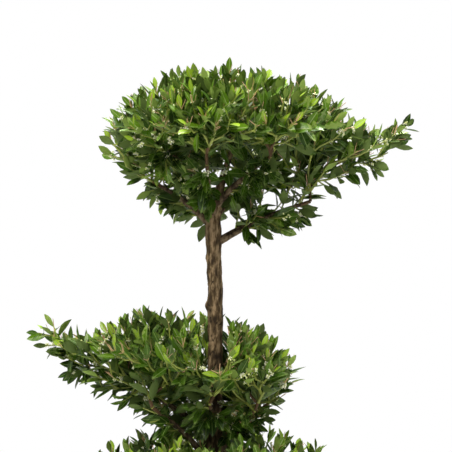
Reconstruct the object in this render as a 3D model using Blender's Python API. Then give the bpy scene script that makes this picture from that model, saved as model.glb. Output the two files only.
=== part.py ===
"""A young Japanese holly, trained on one bare trunk into three tiers of clipped foliage.

The trunk stands on its flat cut at the origin, with +Z up. Boughs leave it in three whorls.
Each bough carries one mass of foliage: twigs that branch by a seeded rule from one stem,
with bent leaves and a few clusters of blossom fused on. All sizes are in metres.
"""

import math
from dataclasses import dataclass

import bmesh
import bpy
import numpy as np
from mathutils.bvhtree import BVHTree

UP = np.array((0.0, 0.0, 1.0))
GAP = 0.0003  # clearance between two pieces that meet
FRINGE = 0.034  # how high a tier's long shoots stand over its rim, near the trunk

# Trunk
TRUNK_HEIGHT = 0.584  # to the tip of the leader, inside the top tier
TOP_FORK = 0.500  # height where the top whorl opens
TRUNK_FOOT_RADIUS = 0.0106
TRUNK_FORK_RADIUS = 0.0078
TRUNK_TIP_RADIUS = 0.0030
FLARE = 0.0075  # how far the roots swell the foot
FLARE_HEIGHT = 0.016
LEADER_LEAN = 0.021  # how far the leader leans towards +X above the fork
TRUNK_SWAY = 0.0016
TRUNK_SIDES = 12
TRUNK_RINGS = 26

# Boughs
BOUGH_SIDES = 6
BOUGH_RINGS = 5
BOUGH_TIP_RADIUS = 0.0021
BOUGH_BOW = 0.35  # how much steeper a bough leaves the trunk than it ends

# Foliage
TWIG_TIP_RADIUS = 0.0012
TWIG_STEP = 0.030  # length of wood between two bends of a twig
TWIG_CLEARANCE = 0.0035
LEAST_RUN = 0.008
LEAST_SPREAD = 0.010  # between the tips of two shoots
SHARPEST_TURN = 0.0  # cosine of the sharpest bend into a shoot
WOOD_SLACK = 0.006  # how far a twig may stand out of its pad
PARENT_TRIES = 6
STEM_RUN = 0.012
AXIL_SHARE = 0.3
AXIL_WIDTH = 0.4  # radius of a twig on its parent's axis, against the parent's own
FAN_SHARE = 1.3  # how strongly shoots fan out from their stem
PATH_SHARE = 0.45  # weight of the way back to the stem when a twig picks its parent
CROWDING = 0.05  # cost of leaving a joint beside a twig that is there already
SHOOT_LENGTH = 0.020
TIP_ROOM = 0.75  # share of a leaf's length that a shoot keeps free ahead of its tip
LEAF_LENGTH = 0.044
LEAF_WIDTH = 0.020
LEAF_THICKNESS = 0.0012
LEAF_WIDEST = 0.5
LEAF_BEND = 0.003  # how far a leaf's tip hangs below its way
LEAF_SINK = 0.0002  # how far beyond the twig's axis a leaf has its root
LEAF_SLACK = 0.004  # how far a leaf may stand out of its pad
LEAF_PLACES = ((0.12, 1.15), (0.40, 1.05), (0.68, 0.85), (0.96, 0.30))  # share of the shoot, spread
OLD_LEAF_PLACES = ((0.55, 1.25),)  # the same, on the wood behind the shoot
BLOSSOM_RADIUS = 0.0036
BLOSSOMS_PER_MASS = 2
CELL_MARGIN = 0.0004  # half the space kept between neighbouring masses
LIMB_CLEARANCE = 0.0035  # from a limb's skin to a twig's or a leaf's axis
CANDIDATES = 24000
TRIES = 24
SEEDS = 8


@dataclass
class Tier:
    """A pad of foliage round the trunk: a bowl below its rim and a dome above."""

    foot: float  # height where the bowl meets the trunk
    rim: float
    apex: float
    reach: float  # mean radius of the rim
    shift: float  # how much further the rim reaches towards +X than the mean
    tilt: float  # rise of the rim for each metre towards +X
    bowl: float  # power of the bowl's profile: 1 is a cone
    dome: float  # power of the dome's profile: 2 is an ellipse
    long_shoots: tuple  # (azimuth in degrees, extra reach, half width in degrees)


@dataclass
class Bough:
    """One limb, and the mass of foliage at its end."""

    name: str
    tier: str
    azimuth: float  # degrees from +X
    fork: float  # height where it leaves the trunk
    share: float  # how far out its tip lies, as a share of the tier's reach
    lift: float  # how high its tip lies between bowl and dome
    foot_radius: float
    shoots: int  # leafy shoots in its mass
    heart: float = 0.66  # how far out its mass is centred
    heart_lift: float = 0.55


TIERS = {
    "top": Tier(0.478, 0.594, 0.682, 0.150, 0.018, 0.03, 1.5, 1.9, ((-4, 0.060, 11), (150, 0.006, 20))),
    "middle": Tier(0.234, 0.346, 0.409, 0.124, -0.020, -0.17, 1.5, 2.0, ((180, 0.057, 12),)),
    "bottom": Tier(0.092, 0.212, 0.286, 0.162, -0.006, 0.02, 1.5, 2.0, ((205, 0.016, 16), (20, 0.012, 16))),
}

BOUGHS = (
    Bough("top_left_low", "top", 174, 0.497, 0.44, 0.20, 0.0046, 9),
    Bough("top_left_high", "top", 214, 0.523, 0.42, 0.42, 0.0045, 9),
    Bough("top_front", "top", 264, 0.508, 0.42, 0.30, 0.0038, 9),
    Bough("top_right_high", "top", 316, 0.520, 0.46, 0.34, 0.0045, 9),
    Bough("top_right_low", "top", -4, 0.479, 0.42, 0.08, 0.0052, 11),
    Bough("top_back_right", "top", 56, 0.505, 0.42, 0.26, 0.0042, 9),
    Bough("top_back_left", "top", 116, 0.487, 0.42, 0.20, 0.0044, 9),
    Bough("middle_left_long", "middle", 180, 0.264, 0.36, 0.36, 0.0046, 9),
    Bough("middle_left_low", "middle", 214, 0.232, 0.50, 0.16, 0.0044, 8),
    Bough("middle_front", "middle", 266, 0.276, 0.42, 0.30, 0.0040, 10, 0.62, 0.45),
    Bough("middle_right_front", "middle", 318, 0.258, 0.46, 0.22, 0.0038, 9),
    Bough("middle_right", "middle", 4, 0.240, 0.50, 0.22, 0.0044, 8),
    Bough("middle_back_right", "middle", 62, 0.270, 0.44, 0.24, 0.0040, 8),
    Bough("middle_back_left", "middle", 124, 0.246, 0.44, 0.24, 0.0042, 8),
    Bough("bottom_left", "bottom", 192, 0.100, 0.44, 0.24, 0.0048, 7),
    Bough("bottom_front_left", "bottom", 244, 0.124, 0.42, 0.26, 0.0044, 7),
    Bough("bottom_front_right", "bottom", 304, 0.096, 0.44, 0.22, 0.0046, 7),
    Bough("bottom_right", "bottom", 6, 0.118, 0.44, 0.24, 0.0048, 7),
    Bough("bottom_back_right", "bottom", 66, 0.094, 0.44, 0.24, 0.0045, 7),
    Bough("bottom_back_left", "bottom", 130, 0.120, 0.44, 0.24, 0.0045, 7),
)
LEADER_SHOOTS = 9
LEADER_HEART = (0.022, 0.0, 0.634)

# Pruned stubs on the bare trunk: height, azimuth in degrees, length, radius
STUBS = ((0.4125, 180, 0.0034, 0.0034), (0.465, 186, 0.0022, 0.0028), (0.432, 250, 0.0012, 0.0020))

# Colours, roughness
BARK_COLOUR = (0.115, 0.078, 0.045, 1.0)
YOUNG_BARK_COLOUR = (0.075, 0.050, 0.024, 1.0)
LEAF_COLOUR = (0.030, 0.085, 0.012, 1.0)
BARK_ROUGHNESS = 0.85
LEAF_ROUGHNESS = 0.35


def clear_scene():
    for thing in list(bpy.data.objects):
        bpy.data.objects.remove(thing, do_unlink=True)


def unit(vector):
    return vector / np.linalg.norm(vector)


def heading(azimuth):
    angle = math.radians(azimuth)
    return np.array((math.cos(angle), math.sin(angle), 0.0))


# The spaces that the foliage keeps to


def round_reach(tier, angle):
    """Radius of a tier's rim without its long shoots, in the direction of an angle in radians."""
    return tier.reach + tier.shift * np.cos(angle)


def rim_reach(tier, angle):
    """Radius of a tier's rim in the direction of an angle in radians."""
    reach = round_reach(tier, angle)
    for azimuth, extra, width in tier.long_shoots:
        turn = (angle - math.radians(azimuth) + math.pi) % math.tau - math.pi
        reach = reach + extra * np.exp(-((turn / math.radians(width)) ** 2))
    return reach


def pad_span(tier, x, y):
    """(bowl height, dome height, share of the reach) over points of the ground."""
    angle = np.arctan2(y, x)
    outward = np.hypot(x, y)
    share = outward / rim_reach(tier, angle)
    inside = np.minimum(share, 1.0)
    under_dome = np.minimum(outward / round_reach(tier, angle), 1.0)
    rim = tier.rim + tier.tilt * x
    low = tier.foot + (rim - tier.foot) * inside**tier.bowl
    dome = (tier.apex - tier.rim) * (1 - under_dome**tier.dome) ** (1 / tier.dome)
    fringe = FRINGE * (1 - inside**2)
    return low, rim + np.maximum(dome, fringe), share


def in_pad(tier, points, slack):
    """Which of these points (one for each row) lie in the tier's pad, or within a slack of it."""
    low, high, share = pad_span(tier, points[:, 0], points[:, 1])
    z = points[:, 2]
    return (share <= 1 + slack / tier.reach) & (low - slack <= z) & (z <= high + slack)


def place_in_pad(tier, azimuth, share, lift):
    """The point at a share of the reach, and a share of the way from bowl to dome."""
    flat = heading(azimuth) * share * rim_reach(tier, math.radians(azimuth))
    low, high, _ = pad_span(tier, flat[0], flat[1])
    return flat + UP * (low + (high - low) * lift)


# Limbs


def trunk_centre(height):
    """The trunk's axis: nearly plumb, swaying a little, with a leaning leader."""
    sway = TRUNK_SWAY * math.sin(math.tau * height / 0.31) * min(1.0, height / 0.05)
    rise = max(0.0, (height - TOP_FORK) / (TRUNK_HEIGHT - TOP_FORK))
    return np.array((sway + LEADER_LEAN * rise**1.3, 0.6 * sway, height))


def trunk_radius(height):
    if height > TOP_FORK:
        rise = (height - TOP_FORK) / (TRUNK_HEIGHT - TOP_FORK)
        return TRUNK_FORK_RADIUS * 0.86 + (TRUNK_TIP_RADIUS - TRUNK_FORK_RADIUS * 0.86) * rise**0.8
    return TRUNK_FOOT_RADIUS + (TRUNK_FORK_RADIUS - TRUNK_FOOT_RADIUS) * height / TOP_FORK


def trunk_heights():
    """Ring heights, closer together at the flare."""
    return [TRUNK_HEIGHT * (ring / (TRUNK_RINGS - 1)) ** 1.35 for ring in range(TRUNK_RINGS)]


def trunk_ring(height, extra):
    """One outline of the trunk, swollen by roots at the foot and by the wood at each fork."""
    swell = sum(math.exp(-(((height - bough.fork - 0.006) / 0.012) ** 2)) for bough in BOUGHS)
    radius = trunk_radius(height) + extra + 0.0005 * min(swell, 2.0)
    flare = FLARE * math.exp(-height / FLARE_HEIGHT)
    points = []
    for side in range(TRUNK_SIDES):
        angle = math.tau * side / TRUNK_SIDES
        lobes = 0.62 + 0.30 * math.cos(3 * angle + 0.7) + 0.18 * math.cos(5 * angle + 2.0)
        ribs = 0.03 * math.cos(4 * angle + 26 * height)
        outward = np.array((math.cos(angle), math.sin(angle), 0.0))
        points.append(trunk_centre(height) + outward * (radius * (1 + ribs) + flare * lobes))
    return points


def bough_line(bough):
    """(points, radii) of a bough, from the trunk's axis to its tip."""
    start = trunk_centre(bough.fork)
    tip = place_in_pad(TIERS[bough.tier], bough.azimuth, bough.share, bough.lift)
    along = tip - start
    sideways = np.cross(UP, unit(along * (1, 1, 0)))
    points = []
    radii = []
    for ring in range(BOUGH_RINGS):
        t = ring / (BOUGH_RINGS - 1)
        bow = BOUGH_BOW * t * (1 - t) * along[2]
        sway = 0.0022 * math.sin(math.tau * t + math.radians(3 * bough.azimuth)) * math.sin(math.pi * t)
        points.append(start + along * t + UP * bow + sideways * sway)
        radii.append(bough.foot_radius + (BOUGH_TIP_RADIUS - bough.foot_radius) * t**0.7)
    return points, radii


# Meshes


def new_object(name, points, faces, material):
    mesh = bpy.data.meshes.new(name)
    mesh.from_pydata([tuple(point) for point in points], [], faces)
    mesh.validate()
    thing = bpy.data.objects.new(name, mesh)
    if material:
        mesh.materials.append(material)
    bpy.context.scene.collection.objects.link(thing)
    return thing


def loft(rings):
    """(points, faces) of a closed tube through rings of points with equal counts."""
    sides = len(rings[0])
    points = [point for ring in rings for point in ring]
    faces = [tuple(reversed(range(sides)))]
    for ring in range(len(rings) - 1):
        for side in range(sides):
            here = ring * sides + side
            beside = ring * sides + (side + 1) % sides
            faces.append((here, beside, beside + sides))
            faces.append((here, beside + sides, here + sides))
    faces.append(tuple(range(len(points) - sides, len(points))))
    return points, faces


def tube(line, radii, sides):
    """(points, faces) of a round tube along a line, without twist."""
    across = None
    rings = []
    for place, (point, radius) in enumerate(zip(line, radii)):
        before = line[max(place - 1, 0)]
        after = line[min(place + 1, len(line) - 1)]
        along = unit(after - before)
        if across is None:
            across = unit(np.cross(along, UP + 0.1 * heading(20)))
        across = unit(across - along * np.dot(across, along))
        other = np.cross(along, across)
        turns = [math.tau * side / sides for side in range(sides)]
        rings.append([point + radius * (math.cos(a) * across + math.sin(a) * other) for a in turns])
    return loft(rings)


def leaf_shape(root, along, facing, size):
    """(points, faces) of one leaf: a thin blade bent down past its middle, with a keeled back."""
    side = unit(np.cross(along, facing))
    over = np.cross(side, along)
    middle = root + along * LEAF_LENGTH * size * LEAF_WIDEST
    half = side * LEAF_WIDTH * size / 2
    tip = root + along * LEAF_LENGTH * size - over * LEAF_BEND * size
    keel = middle - over * LEAF_THICKNESS
    points = np.array((root, tip, middle - half, middle + half, keel))
    faces = ((0, 3, 2), (2, 3, 1), (0, 2, 4), (2, 1, 4), (1, 3, 4), (3, 0, 4))
    return points, faces


def blossom_shape(root, along):
    """(points, faces) of one cluster of small flowers: a double pyramid that stands on one point."""
    across = unit(np.cross(along, UP + 0.1 * heading(20)))
    other = np.cross(along, across)
    arms = (across, other, -across, -other, 1.2 * along, -1.2 * along)
    points = np.array([root + (arm + 1.2 * along) * BLOSSOM_RADIUS for arm in arms])
    faces = [(side, (side + 1) % 4, 4) for side in range(4)]
    faces += [((side + 1) % 4, side, 5) for side in range(4)]
    return points, faces


# Foliage


def run_gaps(a, b, starts, ends):
    """Distances from the run a-b to other straight runs, and the share along each where it is."""
    run = b - a
    other = ends - starts
    back = a - starts
    run_run = run @ run
    other_other = np.einsum("ij,ij->i", other, other)
    other_back = np.einsum("ij,ij->i", other, back)
    run_back = back @ run
    run_other = other @ run
    spread = np.maximum(run_run * other_other - run_other**2, 1e-12)
    s = np.clip((run_other * other_back - run_back * other_other) / spread, 0, 1)
    t = np.clip((run_other * s + other_back) / other_other, 0, 1)
    s = np.clip((run_other * t - run_back) / run_run, 0, 1)
    return np.linalg.norm(back + s[:, None] * run - t[:, None] * other, axis=1), t


class Space:
    """Where one mass may grow: its tier's pad, its own cell among the hearts, clear of the limbs."""

    def __init__(self, tier, heart, others, limbs):
        self.tier = tier
        self.middle = heart
        self.normals = np.array([unit(other - heart) for other in others])
        halfway = (np.array(others) + heart) / 2
        self.limits = np.einsum("ij,ij->i", halfway, self.normals) - CELL_MARGIN
        self.starts, self.ends, self.start_radii, self.end_radii = limbs

    def holds(self, points, slack):
        """Which of these points lie in the space, with a slack at the pad's outside alone."""
        in_cell = np.all(points @ self.normals.T <= self.limits, axis=1)
        return in_cell & in_pad(self.tier, points, slack)

    def limb_gap(self, a, b):
        """Smallest distance from the run a-b to the skin of any limb."""
        apart, t = run_gaps(a, b, self.starts, self.ends)
        return np.min(apart - self.start_radii - (self.end_radii - self.start_radii) * t)


class Twigs:
    """The wood of one mass: joints, each with its parent, in chains that branch off one another."""

    def __init__(self, start, along):
        self.points = [start, start + along * STEM_RUN]
        self.parents = [0, 0]
        self.paths = [0.0, STEM_RUN]
        self.chains = [[0, 1]]

    def direction(self, joint):
        return unit(self.points[joint] - self.points[self.parents[joint]])

    def best_parents(self, target):
        """The joints nearest to a target, reckoned with its turn and a share of its way to the stem."""
        costs = []
        for joint in range(1, len(self.points)):
            away = target - self.points[joint]
            distance = max(np.linalg.norm(away), 1e-6)
            turn = 1 - np.dot(away / distance, self.direction(joint))
            cost = distance * (1 + 0.6 * turn) + PATH_SHARE * self.paths[joint]
            for child, parent in enumerate(self.parents):
                if parent == joint and np.dot(away / distance, self.direction(child)) > 0.88:
                    cost += CROWDING
            costs.append(cost)
        return [1 + int(place) for place in np.argsort(costs)[:PARENT_TRIES]]

    def curve(self, parent, target):
        """Points of a bent twig that leaves its parent's way and ends at the target."""
        start = self.points[parent]
        distance = np.linalg.norm(target - start)
        bend = start + 0.45 * distance * unit(self.direction(parent) + 1.2 * unit(target - start))
        steps = max(1, round(distance / TWIG_STEP))
        shares = [step / steps for step in range(1, steps + 1)]
        return [(1 - t) ** 2 * start + 2 * t * (1 - t) * bend + t * t * target for t in shares]

    def clear_of_own(self, parent, line):
        """True if a new line keeps off the wood that is there, but for its own parent."""
        runs = [(joint, self.parents[joint]) for joint in range(1, len(self.points))]
        runs = [run for run in runs if parent not in run]
        if not runs:
            return True
        starts = np.array([self.points[joint] for joint, _ in runs])
        ends = np.array([self.points[before] for _, before in runs])
        return all(
            np.min(run_gaps(a, b, starts, ends)[0]) > TWIG_CLEARANCE for a, b in zip(line, line[1:])
        )

    def axil(self, parent):
        """Where a twig leaves its parent: a little before the joint that it is counted from."""
        return self.points[parent] + AXIL_SHARE * (self.points[self.parents[parent]] - self.points[parent])

    def grow(self, parent, points):
        """Adds a chain of joints, as the stem's own end where nothing has grown from it yet."""
        chain = [parent]
        for point in points:
            length = float(np.linalg.norm(point - self.points[chain[-1]]))
            self.parents.append(chain[-1])
            self.paths.append(self.paths[chain[-1]] + length)
            self.points.append(point)
            chain.append(len(self.points) - 1)
        if len(self.chains) == 1 and self.chains[0] == [0, 1]:
            self.chains[0] += chain[1:]
        else:
            self.chains.append(chain)

    def radii(self, stem_radius):
        """Radius at each joint, from the number of tips that it carries."""
        tips = [0] * len(self.points)
        for chain in self.chains:
            joint = chain[-1]
            while joint:
                tips[joint] += 1
                joint = self.parents[joint]
        tips[0] = tips[1]
        power = math.log(stem_radius / TWIG_TIP_RADIUS) / math.log(max(tips[0], 2))
        return [TWIG_TIP_RADIUS * count**power for count in tips]

    def tubes(self, stem_radius):
        radii = self.radii(stem_radius)
        shapes = []
        for chain in self.chains:
            line = [self.points[joint] for joint in chain]
            widths = [radii[joint] for joint in chain]
            if chain[0]:
                line[0] = self.axil(chain[0])
                widths[0] = min(widths[1], AXIL_WIDTH * radii[chain[0]])
            shapes.append(tube(line, widths, 3))
        return shapes


def shoot_ways(tier, points, stem):
    """The way that a shoot grows at each point: away from the stem, up in the dome, level in the bowl."""
    low, high, share = pad_span(tier, points[:, 0], points[:, 1])
    lift = (points[:, 2] - low) / (high - low)
    flat = points * (1, 1, 0) / np.linalg.norm(points[:, :2], axis=1)[:, None]
    away = (points - stem) / np.linalg.norm(points - stem, axis=1)[:, None]
    ways = FAN_SHARE * away + flat * share[:, None] + UP * (1.5 * lift - 0.4)[:, None]
    return ways / np.linalg.norm(ways, axis=1)[:, None]


def shoot_targets(space, stem, count, dice):
    """(place, way) of each shoot, with their tips spread evenly through a space."""
    angles = dice.uniform(0, math.tau, CANDIDATES)
    outward = np.sqrt(dice.uniform(0.02, 1, CANDIDATES)) * rim_reach(space.tier, angles)
    flat = np.column_stack((outward * np.cos(angles), outward * np.sin(angles)))
    low, high, _ = pad_span(space.tier, flat[:, 0], flat[:, 1])
    pool = np.column_stack((flat, low + (high - low) * dice.uniform(0, 1, CANDIDATES)))
    pool = pool[space.holds(pool, 0.0)]
    ways = shoot_ways(space.tier, pool, stem)
    tips = pool + ways * (SHOOT_LENGTH + TIP_ROOM * LEAF_LENGTH)
    inside = space.holds(tips, LEAF_SLACK)
    pool, ways, tips = pool[inside], ways[inside], tips[inside]
    nearest = np.linalg.norm(tips - space.middle, axis=1)
    chosen = []
    while len(chosen) < count and np.max(nearest) > LEAST_SPREAD:
        chosen.append(int(np.argmax(nearest)))
        nearest = np.minimum(nearest, np.linalg.norm(tips - tips[chosen[-1]], axis=1))
    return [(pool[place], ways[place]) for place in chosen]


def grow_wood(space, start, along, count, dice):
    """The stem of a mass with its twigs, each of which ends in a leafy shoot."""
    wood = Twigs(start, along)
    targets = shoot_targets(space, wood.points[1], count, dice)
    targets.sort(key=lambda target: np.linalg.norm(target[0] - wood.points[1]))
    main = max(range(len(targets)), key=lambda place: np.dot(targets[place][0] - start, along))
    targets.insert(0, targets.pop(main))
    for target, way in targets:
        for parent in wood.best_parents(target):
            run = shoot_run(space, wood, parent, target, way)
            if run:
                wood.grow(parent, run)
                break
    return wood


def shoot_run(space, wood, parent, target, way):
    """The joints of a twig from its parent to its shoot's tip, or None where nothing fits."""
    start = wood.points[parent]
    for line in (wood.curve(parent, target), [target]):
        arrival = line[-1] - ([start] + line)[-2]
        length = np.linalg.norm(arrival)
        if length < LEAST_RUN or np.dot(way, arrival) < SHARPEST_TURN * length:
            continue
        tip = line[-1] + unit(way + 0.8 * arrival / length) * SHOOT_LENGTH
        run = [start, *line, tip]
        inside = np.all(space.holds(np.array(run[1:]), WOOD_SLACK))
        off_limbs = all(space.limb_gap(a, b) > LIMB_CLEARANCE for a, b in zip(run, run[1:]))
        if inside and off_limbs and wood.clear_of_own(parent, run):
            return run[1:]
    return None


def try_leaf(space, base, tip, place, side, spread, dice):
    """One leaf at a share of a run of wood, or None where it leaves the space or nears a limb."""
    along = unit(tip - base)
    way = unit(along * math.cos(spread) + side * math.sin(spread) + 0.12 * UP)
    facing = unit(along * 0.7 + UP * 0.8 - side * 0.2)
    root = base + (tip - base) * place - way * LEAF_SINK
    leaf = leaf_shape(root, way, facing, dice.uniform(0.86, 1.08))
    corners = leaf[0]
    runs = ((corners[0] + way * 0.004, corners[1]), (corners[2], corners[3]))
    if not np.all(space.holds(corners, LEAF_SLACK)):
        return None
    if min(space.limb_gap(a, b) for a, b in runs) < LIMB_CLEARANCE:
        return None
    return leaf


def set_leaves(space, wood, tubes, dice):
    """Leaves in a spiral round every shoot, each off the limbs and off the other leaves."""
    trees = [shape_tree(shape) for shape in tubes]
    leaves = []
    for number, chain in enumerate(wood.chains):
        for back, places in ((1, LEAF_PLACES), (2, OLD_LEAF_PLACES)):
            if len(chain) <= back:
                continue
            base, tip = wood.points[chain[-back - 1]], wood.points[chain[-back]]
            ring = tubes[number][0][len(tubes[number][0]) - 3 * back :][:3]
            for place, spread in places:
                for attempt in range(TRIES):
                    corner = len(leaves) + attempt
                    middle = (ring[corner % 3] + ring[(corner + 1) % 3]) / 2
                    side = unit(middle - tip + 0.0002 * dice.uniform(-1, 1, 3))
                    lean = spread * (1 - 0.03 * attempt)
                    leaf = try_leaf(space, base, tip, place, side, lean, dice)
                    if not leaf:
                        continue
                    tree = shape_tree(leaf)
                    if any(tree.overlap(taken) for at, taken in enumerate(trees) if at != number):
                        continue
                    leaves.append(leaf)
                    trees.append(tree)
                    break
    return leaves


def set_blossom(space, wood, dice):
    """A few clusters of blossom, each in the axil of a shoot."""
    clusters = []
    for chain in dice.permutation(len(wood.chains)):
        base, tip = (wood.points[joint] for joint in wood.chains[chain][-2:])
        along = unit(tip - base)
        side = unit(np.cross(along, dice.uniform(-1, 1, 3)))
        cluster = blossom_shape(base + (tip - base) * 0.54, unit(side + 0.3 * along))
        corners = cluster[0]
        if np.all(space.holds(corners, 0.0)) and space.limb_gap(corners[4], corners[5]) > BLOSSOM_RADIUS:
            clusters.append(cluster)
        if len(clusters) == BLOSSOMS_PER_MASS:
            break
    return clusters


def shape_tree(shape):
    points, faces = shape
    return BVHTree.FromPolygons([tuple(point) for point in points], faces)


def grow_mass(space, start, along, stem_radius, count, seed):
    """Shapes of one mass: its stem first, then its twigs, leaves and blossom."""
    dice = np.random.default_rng(seed)
    wood = grow_wood(space, start, along, count, dice)
    tubes = wood.tubes(stem_radius)
    return tubes + set_leaves(space, wood, tubes, dice) + set_blossom(space, wood, dice)


def join_shapes(name, shapes, material):
    """One closed solid from many overlapping ones, by a Boolean union on a collection."""
    parts = bpy.data.collections.new(name + "_parts")
    bpy.context.scene.collection.children.link(parts)
    body = new_object(name, *shapes[0], material)
    for number, (points, faces) in enumerate(shapes[1:]):
        piece = new_object(f"{name}_part_{number}", points, faces, None)
        bpy.context.scene.collection.objects.unlink(piece)
        parts.objects.link(piece)
    whole = None
    for solver in ("EXACT", "MANIFOLD"):
        union = body.modifiers.new("union", "BOOLEAN")
        union.operation = "UNION"
        union.operand_type = "COLLECTION"
        union.collection = parts
        union.solver = solver
        bpy.context.view_layer.update()
        evaluated = body.evaluated_get(bpy.context.evaluated_depsgraph_get())
        whole = outer_body(bpy.data.meshes.new_from_object(evaluated))
        body.modifiers.remove(union)
        if whole:
            break
    for piece in list(parts.objects):
        mesh = piece.data
        bpy.data.objects.remove(piece, do_unlink=True)
        bpy.data.meshes.remove(mesh)
    bpy.data.collections.remove(parts)
    if not whole:
        bpy.data.objects.remove(body, do_unlink=True)
        return None
    body.data = whole
    whole.name = name
    return body


def outer_body(mesh):
    """The mesh with only its largest outer shell, or None if that shell isn't closed."""
    work = bmesh.new()
    work.from_mesh(mesh)
    bmesh.ops.triangulate(work, faces=work.faces)
    bmesh.ops.remove_doubles(work, verts=work.verts, dist=2e-6)
    bmesh.ops.dissolve_degenerate(work, edges=work.edges, dist=2e-6)
    bmesh.ops.triangulate(work, faces=work.faces)
    shells = []
    unseen = set(work.faces)
    while unseen:
        shell = {unseen.pop()}
        front = list(shell)
        while front:
            face = front.pop()
            for edge in face.edges:
                for neighbour in edge.link_faces:
                    if neighbour in unseen:
                        unseen.discard(neighbour)
                        shell.add(neighbour)
                        front.append(neighbour)
        shells.append(shell)
    shells.sort(key=shell_volume, reverse=True)
    scrap = [face for shell in shells[1:] for face in shell]
    bmesh.ops.delete(work, geom=scrap, context="FACES")
    closed = bool(work.faces) and all(len(edge.link_faces) == 2 for edge in work.edges)
    work.to_mesh(mesh)
    work.free()
    return mesh if closed else None


def shell_volume(shell):
    total = 0.0
    for face in shell:
        a, b, c = (corner.co for corner in face.verts)
        total += a.dot(b.cross(c)) / 6
    return total


# The plant's pieces


def plain_material(name, colour, roughness):
    material = bpy.data.materials.new(name)
    material.use_nodes = True
    shader = material.node_tree.nodes["Principled BSDF"]
    shader.inputs["Base Color"].default_value = colour
    shader.inputs["Roughness"].default_value = roughness
    shader.inputs["Metallic"].default_value = 0.0
    return material


def make_trunk():
    """The trunk, whole from its flat cut to the leader's tip, with its pruned stubs fused on."""
    bark = plain_material("trunk_bark", BARK_COLOUR, BARK_ROUGHNESS)
    shapes = [loft([trunk_ring(height, 0.0) for height in trunk_heights()])]
    for height, azimuth, length, radius in STUBS:
        outward = unit(heading(azimuth) + 0.25 * UP)
        foot = trunk_centre(height)
        reach = trunk_radius(height) + length
        line = [foot + outward * reach * share for share in (0.3, 0.9, 1.0)]
        shapes.append(tube(line, [radius * 1.3, radius, radius * 0.6], 6))
    trunk = join_shapes("trunk", shapes, bark)
    trunk.data.shade_smooth()
    trunk.data.set_sharp_from_angle(angle=math.radians(40))
    return trunk


def make_trunk_cutter():
    """The trunk made a gap's width fatter, to cut every bough clear of it."""
    rings = [trunk_ring(height, GAP) for height in trunk_heights()]
    cutter = new_object("trunk_cutter", *loft(rings), None)
    cutter.hide_render = True
    cutter.display_type = "WIRE"
    return cutter


def make_bough(bough, cutter):
    bark = plain_material("bark_" + bough.name, YOUNG_BARK_COLOUR, BARK_ROUGHNESS)
    points, radii = bough_line(bough)
    thing = new_object("bough_" + bough.name, *tube(points, radii, BOUGH_SIDES), bark)
    cut = thing.modifiers.new("clear_of_trunk", "BOOLEAN")
    cut.operation = "DIFFERENCE"
    cut.object = cutter
    cut.solver = "EXACT"
    thing.data.shade_smooth()
    thing.data.set_sharp_from_angle(angle=math.radians(50))
    return thing


def limb_runs():
    """All limbs as straight runs: (starts, ends, start radii, end radii)."""
    runs = []
    heights = np.linspace(0, TRUNK_HEIGHT, 24)
    for low, high in zip(heights, heights[1:]):
        radii = (trunk_radius(low) + GAP, trunk_radius(high) + GAP)
        runs.append((trunk_centre(low), trunk_centre(high), *radii))
    for bough in BOUGHS:
        points, radii = bough_line(bough)
        ends = list(points)
        ends[-1] = points[-1] - unit(points[-1] - points[-2]) * radii[-1]
        runs += list(zip(points[:-1], ends[1:], radii, radii[1:]))
    return [np.array(column) for column in zip(*runs)]


def make_mass(name, tier, heart, others, limbs, line, stem_radius, shoots, seed):
    """One mass of foliage, grown again from the next seed where its shapes don't join."""
    green = plain_material("leaf_" + name, LEAF_COLOUR, LEAF_ROUGHNESS)
    along = unit(line[-1] - line[-2])
    space = Space(TIERS[tier], heart, others, limbs)
    for attempt in range(SEEDS):
        shapes = grow_mass(space, line[-1] + along * GAP, along, stem_radius, shoots, seed + 100 * attempt)
        mass = join_shapes("leaves_" + name, shapes, green)
        if mass:
            return mass
    raise RuntimeError(name + " did not join into one closed solid")


def main():
    clear_scene()
    make_trunk()
    cutter = make_trunk_cutter()
    for bough in BOUGHS:
        make_bough(bough, cutter)
    limbs = limb_runs()
    hearts = [
        place_in_pad(TIERS[bough.tier], bough.azimuth, bough.heart, bough.heart_lift) for bough in BOUGHS
    ]
    hearts.append(np.array(LEADER_HEART))
    for number, bough in enumerate(BOUGHS):
        others = hearts[:number] + hearts[number + 1 :]
        line, radii = bough_line(bough)
        make_mass(
            bough.name, bough.tier, hearts[number], others, limbs, line, radii[-1], bough.shoots, number
        )
    leader = [trunk_centre(TRUNK_HEIGHT) - UP, trunk_centre(TRUNK_HEIGHT)]
    make_mass(
        "top_leader", "top", hearts[-1], hearts[:-1], limbs, leader, TRUNK_TIP_RADIUS, LEADER_SHOOTS, 100
    )


if __name__ == "__main__":
    main()
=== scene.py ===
"""The looks of a young Japanese holly that is trained into tiers of clipped foliage.

The file is laid out as an add-on and is run as a script. It grows bark, twigs, leaves and
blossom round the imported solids, in metres and with +Z up, and sets a plain studio round them.
"""

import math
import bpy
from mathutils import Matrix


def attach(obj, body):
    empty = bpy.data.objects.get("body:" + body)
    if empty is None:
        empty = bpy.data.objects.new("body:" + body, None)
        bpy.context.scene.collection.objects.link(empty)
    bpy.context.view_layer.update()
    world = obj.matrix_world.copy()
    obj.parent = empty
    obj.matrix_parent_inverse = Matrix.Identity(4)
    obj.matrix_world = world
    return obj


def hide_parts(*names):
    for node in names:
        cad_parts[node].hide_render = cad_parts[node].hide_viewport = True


bl_info = {
    "name": "Tiered Japanese Holly",
    "version": (1, 0, 0),
    "blender": (4, 5, 0),
    "location": "View3D > Sidebar > Holly",
    "description": "Grows the bark, twigs, leaves and blossom of a tiered holly",
    "category": "Add Mesh",
}

from dataclasses import dataclass

import bpy
import numpy as np

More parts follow.
